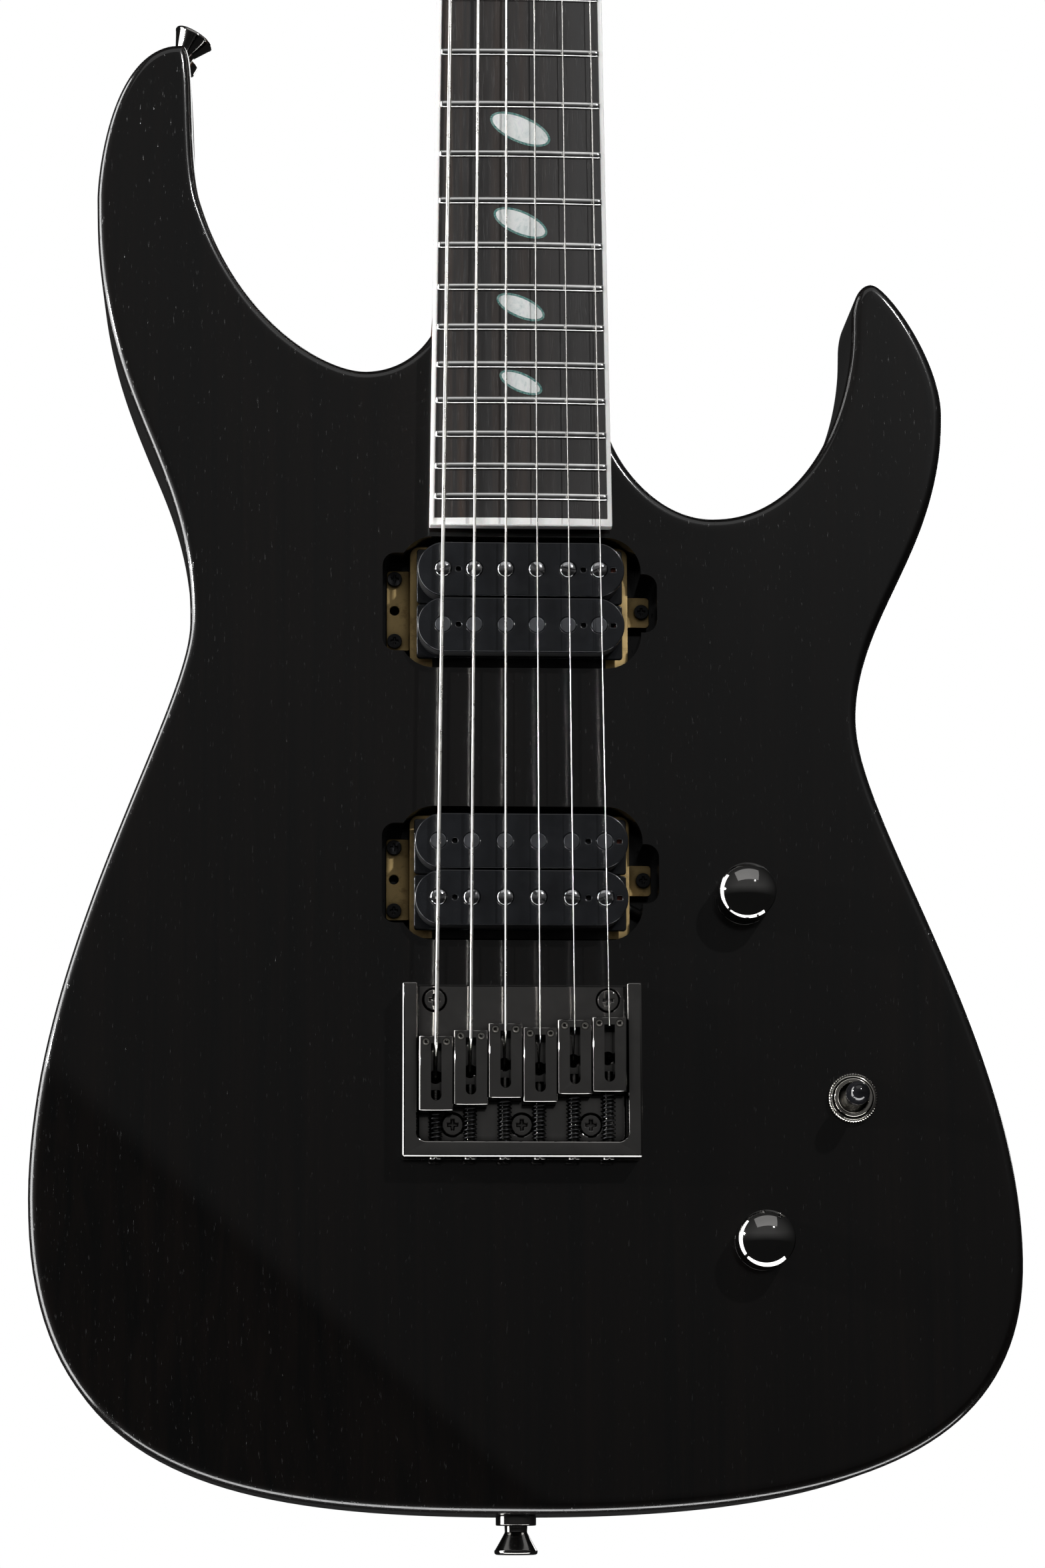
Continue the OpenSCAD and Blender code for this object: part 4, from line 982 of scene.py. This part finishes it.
def tube(points, radius, sides, ridge=0.0, pitch=0.0):
    """A closed tube along points; with a pitch, a helical ridge of that share of the radius."""
    centres = [Vector(p) for p in points]
    rings, travelled = [], 0.0
    side = None
    for i, here in enumerate(centres):
        ahead = (centres[min(i + 1, len(centres) - 1)] - centres[max(i - 1, 0)]).normalized()
        side = ahead.orthogonal() if side is None else side - ahead * side.dot(ahead)
        side.normalize()
        up = ahead.cross(side)
        if i:
            travelled += (here - centres[i - 1]).length
        for k in range(sides):
            a = 2 * math.pi * k / sides
            r = radius
            if pitch:
                r *= 1 - ridge * (0.5 - 0.5 * math.cos(2 * math.pi * travelled / pitch - a))
            rings.append(here + side * (r * math.cos(a)) + up * (r * math.sin(a)))
    rows = len(centres)
    return bmesh_from(rings, grid_faces(rows, sides) + end_faces(rows, sides))


def straight(a, b, step):
    """Points from a to b, about step apart."""
    count = max(1, int(round((Vector(b) - Vector(a)).length / step)))
    return [Vector(a).lerp(Vector(b), k / count) for k in range(count + 1)]


BEND_STEPS = 6


def bend(a, corner, b, reach):
    """Points round a corner, leaving the straight runs reach before and after it."""
    p = corner + (a - corner).normalized() * reach
    q = corner + (b - corner).normalized() * reach
    steps = [k / BEND_STEPS for k in range(BEND_STEPS + 1)]
    return [p.lerp(corner, t).lerp(corner.lerp(q, t), t) for t in steps]


def string_sections(point, normal):
    """Centre and radius of each string where a plane cuts it, lowest string first."""
    found = []
    for loop in cut_loops("strings", point, normal):
        centre = sum(loop, Vector()) / len(loop)
        found.append((centre, sum((p - centre).length for p in loop) / len(loop)))
    return sorted(found, key=lambda s: s[0].x)


LOW_ON_NECK = 0.1            # two places up the neck where the strings' lines are read
HIGH_ON_NECK = 0.5
IN_BODY = -30 * MM           # the strings pass this plane on their way up through the body
BREAK_BACK = 2.6 * MM        # the string bends this far behind the saddle's front
BREAK_REACH = 1.2 * MM       # and again, over this length, where it turns down into the body
WRAP_PITCH = 0.55 * MM       # of the winding on the three bass strings


def strings():
    """Each string from nut to saddle and from saddle into the body."""
    low = string_sections((0, 0, LOW_ON_NECK), (0, 0, 1))
    high = string_sections((0, 0, HIGH_ON_NECK), (0, 0, 1))
    drops = string_sections((0, IN_BODY, 0), (0, 1, 0))
    past_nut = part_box("nut")[1].z + 0.2 * MM
    floor = min(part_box("saddle_1")[1].y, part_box("saddle_6")[1].y) + 0.6 * MM
    for n, (a, radius), (b, _), (hole, _) in zip(STRINGS, low, high, drops):
        wound = n <= 3
        look = "wound_string" if wound else "string_metal"
        step, fine_step = (WRAP_PITCH / 3, WRAP_PITCH / 3) if wound else (12 * MM, 2 * MM)
        shape = (radius * 1.04, 9, 0.08, WRAP_PITCH) if wound else (radius, 12)
        nut, crest = (a + (b - a) * ((z - a.z) / (b.z - a.z))
                      for z in (past_nut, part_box(f"saddle_{n}")[1].z - BREAK_BACK))
        rise = Vector((hole.x, floor, hole.z))
        foot = Vector((hole.x, IN_BODY, hole.z))
        path = [crest]
        for p in bend(crest, rise, foot, BREAK_REACH) + [foot]:
            path += straight(path[-1], p, fine_step)[1:]
        for part, points, still in (("speaking", straight(nut, crest, step), nut), ("anchor", path, rise)):
            piece = piece_of(tube(points, *shape), f"string_{n}_{part}", look, None, "strings", COILED)
            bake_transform(piece)
            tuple(still)
            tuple(crest)
        piece_of(knuckle(crest, radius * 1.05), f"string_{n}_crest", look, f"saddle_{n}_block", "strings")
    # what lies past the nut and inside the back of the body stays as the CAD has it
    bm = welded("strings")
    trim(bm, (0, 0, past_nut - 0.02 * MM), (0, 0, 1))
    piece_of(bm, "string_heads", "string_metal", "root", "strings")
    bm = welded("strings")
    trim(bm, (0, IN_BODY, 0), (0, 1, 0))
    trim(bm, (0, 0, LOW_ON_NECK), (0, 0, -1))
    piece_of(bm, "string_ends", "string_metal", "root", "strings")


def knuckle(at, radius):
    """A small ball where a string bends."""
    angles = np.linspace(0.05, math.pi - 0.05, 9)
    profile = [(max(radius * math.sin(a), 0), -radius * math.cos(a)) for a in angles]
    return merged([lathe(at, (0, 0, 1), profile, 12)])


SPRING_WIRE = 0.3 * MM       # radius of the wire
COIL_PITCH = 1.25 * MM
COIL_STEPS = 18              # points a turn


def springs():
    """A wound spring round each intonation screw, between the rear wall and its saddle."""
    bm = welded("intonation_springs")
    boxes = sorted((span(group) for group in solids(bm)), key=lambda s: s[0].x)
    bm.free()
    for n, (low, high) in zip(STRINGS, boxes):
        at = middle(low, high)
        mean = (high.x - low.x) / 2 - SPRING_WIRE
        first, last = low.z + SPRING_WIRE, high.z - SPRING_WIRE
        coils = max(5, round((last - first) / COIL_PITCH))
        points = []
        for k in range(coils * COIL_STEPS + 1):
            t = k / (coils * COIL_STEPS)
            a = 2 * math.pi * coils * t
            # the end coils lie flat against the wall and the saddle
            z = first + (last - first) * (t - 0.5 * math.sin(2 * math.pi * t) / (math.pi * coils))
            points.append((at.x + mean * math.cos(a), at.y + mean * math.sin(a), z))
        piece = piece_of(tube(points, SPRING_WIRE, 7), f"spring_{n}_coil", "black_screw", None,
                         "intonation_springs", COILED, "black_chrome")
        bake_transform(piece)


THREAD_PITCH = 0.5 * MM
THREAD_DEPTH = 0.16          # as a share of the radius


def intonation_screws():
    """A threaded shank and a slotted head, which turn together."""
    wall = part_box("bridge_plate")[0].z
    for n in STRINGS:
        node = f"intonation_screw_{n}"
        low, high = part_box(node)
        bm = welded(node)
        trim(bm, (0, 0, wall - 0.02 * MM), (0, 0, -1))
        round_edges(bm, 0.18 * MM, 3)
        piece_of(bm, f"intonation_{n}_head", "black_chrome", f"intonation_{n}", node, even=True)
        at = middle(low, high)
        bm = welded(node)
        radius = max(v.co.x for v in bm.verts if v.co.z > high.z - 0.01 * MM) - at.x
        bm.free()
        points = straight((at.x, at.y, wall - 0.05 * MM), (at.x, at.y, high.z), THREAD_PITCH / 4)
        thread = tube(points, radius, 14, THREAD_DEPTH, THREAD_PITCH)
        piece_of(thread, f"intonation_{n}_thread", "black_chrome", f"intonation_{n}", node, COILED)


# ---------------------------------------------------------------- pickups


SHANK_RADIUS = 1.55 * MM     # of a pole screw
HEAD_TALL = 1.6 * MM
DOME_START = 0.5 * MM        # the head's dome starts this far under the CAD head's top
DOME_RISE = 0.85 * MM
SLOT_HALF = 0.42 * MM        # half the width of its slot
SLOT_DEPTH = 0.45 * MM


def pole_screws():
    """Domed, slotted heads on plain shanks; each slot keeps the angle the CAD gives it."""
    bm = welded("pole_screws")
    domes, slots = [], []
    for group in solids(bm):
        low, high = span(group)
        at = middle(low, high)
        radius = (high.x - low.x) / 2
        top = -low.y
        rim = [v.co for v in group if v.co.y < low.y + 0.01 * MM]
        # the slot runs along the widest gap between neighbouring points of the head's rim
        angles = sorted(math.atan2(c.z - at.z, c.x - at.x) for c in rim
                        if math.hypot(c.x - at.x, c.z - at.z) > radius * 0.97)
        gaps = [((b - a) % (2 * math.pi), a) for a, b in zip(angles, angles[1:] + angles[:1])]
        gap, start = max(gaps)
        turn = start + gap / 2
        profile = [(SHANK_RADIUS, -18 * MM), (SHANK_RADIUS, -HEAD_TALL), (radius, -HEAD_TALL),
                   (radius, -DOME_START)]
        profile += [(radius * math.cos(a), -DOME_START + DOME_RISE * math.sin(a))
                    for a in np.linspace(0.12, math.pi / 2, 8)]
        domes.append(lathe((at.x, -top, at.z), (0, -1, 0), profile, 40))
        half, wide = 4 * MM, SLOT_HALF
        c, s = math.cos(turn), math.sin(turn)
        loop = [(at.x + u * c - w * s, at.z + u * s + w * c)
                for u, w in ((-half, -wide), (half, -wide), (half, wide), (-half, wide))]
        slots.append(prism(loop, top - SLOT_DEPTH, top + 3 * MM))
    bm.free()
    piece = piece_of(merged(domes), "pole_screw_heads", "pole_screw", "root", "pole_screws")
    cut(piece, slots)
    even_shading(piece)


CORNER_LEGS = 27 * MM        # the plate shows bright brass only beyond this distance from the middle


def baseplates():
    """Brass plates, painted black along the middle of the coils as the shade the coils cast there."""
    bm = welded("pickup_baseplates")
    round_edges(bm, 0.2 * MM)
    for x in (-CORNER_LEGS, CORNER_LEGS):
        bisected(bm, (x, 0, 0), (1, 0, 0))
    piece = piece_of(bm, "baseplates_shade_painted", "brass", "root", "pickup_baseplates", even=True)
    # painted shade: faces nearer the middle than CORNER_LEGS take a black finish for the coils' shadow on
    # the plate
    piece.data.materials.append(LOOK["wire_cover"])
    for face in piece.data.polygons:
        face.material_index = int(abs(face.center.x) < CORNER_LEGS)


# ---------------------------------------------------------------- controls


KNOB_DOME = 11.3 * MM        # radius the top is turned to
KNOB_SHOULDER = 0.8 * MM     # radius where the dome turns into the skirt
KNOB_FOOT = 0.5 * MM         # rounding of the skirt's foot
KNOB_WALL = 3.6 * MM         # thickness over the shaft's bore
KNOB_BORE = 3.02 * MM
KNOB_HOLLOW = (7 * MM, 4.8 * MM)   # radius and height of the hollow over the panel nut


def knob(node):
    """A dome knob, turned smooth, hollow underneath."""
    low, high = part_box(node)
    at = middle(low, high)
    radius = (high.x - low.x) / 2
    tall = high.y - low.y
    inner = KNOB_DOME - KNOB_SHOULDER
    slope = math.degrees(math.asin((radius - KNOB_SHOULDER) / inner))
    dome_centre = tall - KNOB_DOME
    turn = (radius - KNOB_SHOULDER, dome_centre + inner * math.cos(math.radians(slope)))
    wide, deep = KNOB_HOLLOW
    profile = [(0, tall - KNOB_WALL), (KNOB_BORE, tall - KNOB_WALL), (KNOB_BORE, deep), (wide, deep)]
    profile.append((wide, 0))
    profile += [(radius - 2 * MM, 0), (radius - KNOB_FOOT, 0)]
    profile += arc((radius - KNOB_FOOT, KNOB_FOOT), KNOB_FOOT, -90, 0, 5)[1:]
    profile += [(radius, tall * 0.3), (radius, tall * 0.6)]
    profile += arc(turn, KNOB_SHOULDER, 0, 90 - slope, 6)
    profile += arc((0, dome_centre), KNOB_DOME, 90 - slope, 89.5, 30)[1:]
    profile.append((0, tall))
    piece_of(lathe((at.x, high.y, at.z), (0, -1, 0), profile, 96),
             node + "_dome", "knob_gloss", BODY_OF[node], node, even=True)


NUT_BORE = 5.95 * MM
KNURL_TEETH = 56
KNURL_DEPTH = 0.2 * MM
# the knurled nut's top, going inwards, as millimetres in from its rim and down from its top:
# knurled rim, groove, raised ring, inner step
NUT_TOP = ((0.05, 0.8), (0.45, 0.35), (0.6, 0.3), (0.68, 0.5), (0.88, 0.5), (0.96, 0.1), (1.05, 0.0))
TIP_BORE = 1.63 * MM
TIP_FOOT = 0.25 * MM         # chamfer at the foot of the lever's tip


def toggle():
    """The toggle's knurled nut and barrel tip, and the other nuts, its bush and its lever rounded."""
    bm = welded("panel_nuts")
    boxes = [span(group) for group in solids(bm)]
    bm.free()
    tip_low, tip_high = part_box("toggle_tip")
    at = middle(tip_low, tip_high)

    def from_lever(box):
        there = middle(*box)
        return math.hypot(there.x - at.x, there.z - at.z)

    low, high = min(boxes, key=from_lever)
    radius = (high.x - low.x) / 2
    tall = high.y - low.y

    def knurl(r, a):
        outer = r > radius - 0.6 * MM
        return r - KNURL_DEPTH * (0.5 - 0.5 * math.cos(KNURL_TEETH * a)) if outer else r

    profile = [(NUT_BORE, 0), (radius - 0.3 * MM, 0), (radius, 0.3 * MM)]
    profile += [(radius - inwards * MM, tall - down * MM) for inwards, down in NUT_TOP]
    profile += [(NUT_BORE + 0.35 * MM, tall), (NUT_BORE + 0.25 * MM, tall - 0.15 * MM),
                (NUT_BORE, tall - 0.5 * MM)]
    ring = ring_lathe((at.x, high.y, at.z), (0, -1, 0), profile, KNURL_TEETH * 6, knurl)
    piece_of(ring, "toggle_nut_knurled", "nickel", "root", "panel_nuts", 50, even=True)
    nut = middle(low, high)
    finished("panel_nuts", 0.2 * MM, keep=lambda lo, hi: (middle(lo, hi) - nut).length > 5 * MM,
             name="panel_nuts_plain")
    finished("toggle_switch", 0.3 * MM, look="nickel")
    finished("toggle_lever", 0.2 * MM)
    tall = tip_high.y - tip_low.y
    r = (tip_high.x - tip_low.x) / 2
    shape = [(0, tall * 0.85), (TIP_BORE, tall * 0.85), (TIP_BORE, 0), (r * 0.66, 0), (r * 0.74, TIP_FOOT)]
    shape += [(r * (0.74 + 0.26 * math.sin(math.pi / 2 * t)), tall * 0.62 * t + TIP_FOOT)
              for t in np.linspace(0.1, 1, 12)]
    shape += [(r * math.cos(a), tall * 0.64 + TIP_FOOT + (tall * 0.36 - TIP_FOOT) * math.sin(a))
              for a in np.linspace(0.06, 1.562, 16)]
    shape.append((0, tall))
    tip = lathe((at.x, tip_high.y, at.z), (0, -1, 0), shape, 64)
    piece_of(tip, "toggle_tip_barrel", "tip_gloss", BODY_OF["toggle_tip"], "toggle_tip", even=True)


# ---------------------------------------------------------------- everything in place


def paint_frame():
    """Gives every CAD node that stays its record slot's finish."""
    for node, piece in NODES.items():
        piece.data.materials.clear()
        piece.data.materials.append(LOOK[SLOT_OF[node]])


def on_bridge(low, high):
    """Whether a solid's box is centred over the bridge plate."""
    at = middle(low, high)
    plate_low, plate_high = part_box("bridge_plate")
    return plate_low.x < at.x < plate_high.x and plate_low.z < at.z < plate_high.z


def saddle(n):
    """A saddle's block, and the two small screws that set its height."""
    low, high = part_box(f"saddle_{n}")
    wide = 0.9 * (high.x - low.x)
    finished(f"saddle_{n}", 0.3 * MM, 1, keep=lambda lo, hi: hi.x - lo.x > wide,
             name=f"saddle_{n}_body", box_only=True)
    finished(f"saddle_{n}", 0.15 * MM, 2, keep=lambda lo, hi: hi.x - lo.x < wide,
             name=f"saddle_{n}_height_screws", look="nickel")


# parts that only have their edges rounded: by how many millimetres, in how many rows of faces
ROUNDED = {
    "neck": (1.0, 3), "fingerboard_binding": (0.35, 3), "nut": (0.25, 2), "truss_rod_cover": (0.4, 3),
    "bridge_plate": (0.6, 1), "pickup_bobbins": (0.4, 3), "pole_slugs": (0.2, 2),
    "pickup_screws": (0.15, 2), "ferrules": (0.2, 2), "strap_buttons": (0.25, 3),
    "output_jack": (0.3, 2), "rear_cover": (0.4, 3), "tuner_housings": (0.7, 3),
    "tuner_bushings": (0.3, 2)}

paint_frame()
body_shell()
frets()
inlays()
strings()
springs()
intonation_screws()
pole_screws()
baseplates()
finished("wood_screws", 0.3 * MM, keep=on_bridge, name="bridge_screws", look="black_chrome",
         slot="black_screw")
finished("wood_screws", 0.15 * MM, keep=lambda low, high: not on_bridge(low, high),
         name="wood_screws_finished")
knob("volume_knob")
knob("tone_knob")
toggle()
for part, (rounding, rows) in ROUNDED.items():
    finished(part, rounding * MM, rows)
for string in STRINGS:
    saddle(string)
    finished(f"tuner_post_{string}", 0.2 * MM)
    finished(f"tuner_button_{string}", 1.2 * MM, 4)

# ---------------------------------------------------------------- floor, light and camera

FLOOR_DROP = 0.15            # the guitar hangs this far above the floor
FLOOR_HALF = 30.0            # half the floor's side
ROOM = 0.022                 # brightness of the dim room in reflections
WALL_TOP = 0.17              # and of the wall behind the camera, at its lightest


def floor():
    """Plain pale paper, which neither shows in the guitar's gloss nor throws light on it."""
    bm = bmesh.new()
    bmesh.ops.create_grid(bm, x_segments=8, y_segments=8, size=FLOOR_HALF)
    mesh = bpy.data.meshes.new("floor")
    bm.to_mesh(mesh)
    bm.free()
    backdrop_paper()
    mesh.materials.append(LOOK["backdrop_paper"])
    plane = placed("floor", mesh)
    plane.location = (0, 0, CAD_BOX[0].z - FLOOR_DROP)
    plane.visible_glossy = False
    plane.visible_diffuse = False
    plane.visible_shadow = False


def softbox(name, at, aim, size, power):
    """A rectangular lamp of a size in metres and a power in watts, which the camera doesn't see."""
    light = bpy.data.lights.new(name, "AREA")
    light.shape = "RECTANGLE"
    light.size, light.size_y = size
    light.energy = power
    lamp = placed(name, light)
    lamp.location = at
    lamp.visible_camera = False
    lamp.rotation_euler = (Vector(aim) - Vector(at)).to_track_quat("-Z", "Y").to_euler()


def studio():
    """Long boxes at the sides for the edges' bright lines, and a small key for the highlights."""
    softbox("left_box", (-1.15, -0.06, 0.2), (-0.1, -0.03, 0.2), (0.5, 2.3), 36)
    softbox("left_spot", (-1.2, -0.42, 0.3), (0, -0.05, 0.15), (0.09, 0.09), 14)
    softbox("low_box", (0.15, -0.08, -1.1), (0.15, -0.03, 0.0), (2.3, 0.4), 24)
    softbox("key", (0.75, -1.35, 1.0), (0, -0.05, 0.1), (0.05, 0.05), 13)
    softbox("top_box", (0.1, -0.95, 1.5), (0, -0.05, 0.2), (2.0, 1.2), 5)
    softbox("back_box", (0.9, 1.5, 0.9), (0, 0, 0.2), (1.2, 1.2), 18)


def world():
    """White where the camera looks past the guitar, and a dim room in every reflection."""
    made = bpy.data.worlds.new("studio_room")
    bpy.context.scene.world = made
    made.use_nodes = True
    tree = made.node_tree
    background = tree.nodes["Background"]
    path = tree.nodes.new("ShaderNodeLightPath")
    direction = tree.nodes.new("ShaderNodeSeparateXYZ")
    tree.links.new(tree.nodes.new("ShaderNodeTexCoord").outputs["Generated"], direction.inputs[0])

    def ranged(axis, *limits):
        """One axis of the direction, from the first two limits to the last two."""
        made = tree.nodes.new("ShaderNodeMapRange")
        for key, value in zip(("From Min", "From Max", "To Min", "To Max"), limits):
            made.inputs[key].default_value = value
        tree.links.new(direction.outputs[axis], made.inputs["Value"])
        return made.outputs[0]

    def mixed(factor, a, b):
        """Numbers or node outputs, mixed."""
        made = tree.nodes.new("ShaderNodeMix")
        for socket, value in zip((made.inputs[0], made.inputs[2], made.inputs[3]), (factor, a, b)):
            if isinstance(value, bpy.types.NodeSocket):
                tree.links.new(value, socket)
            else:
                socket.default_value = value
        return made.outputs[0]

    # a dim wall behind the camera, lighter towards its top
    rise = ranged("Z", -0.08, 0.32, ROOM, WALL_TOP)
    front = ranged("Y", 0.3, -0.8, 0.0, 1.0)
    seen = mixed(path.outputs["Is Camera Ray"], mixed(front, ROOM, rise), 1.0)
    tree.links.new(seen, background.inputs["Color"])


LENS = 110.3                 # millimetres, on a sensor 36 wide
CAMERA_AT = (-0.0711, -1.4951, -0.1975)
CAMERA_TURN = (100.544, 0.145, -2.801)   # degrees


def camera():
    """A long lens a metre and a half in front, set low and looking slightly up, as in the photograph."""
    lens = bpy.data.cameras.new("camera")
    lens.lens = LENS
    lens.sensor_width = 36
    lens.clip_start = 0.05
    view = placed("camera", lens)
    view.location = CAMERA_AT
    view.rotation_euler = [math.radians(a) for a in CAMERA_TURN]
    bpy.context.scene.camera = view


floor()
studio()
world()
camera()
bpy.context.scene.view_settings.view_transform = "Standard"
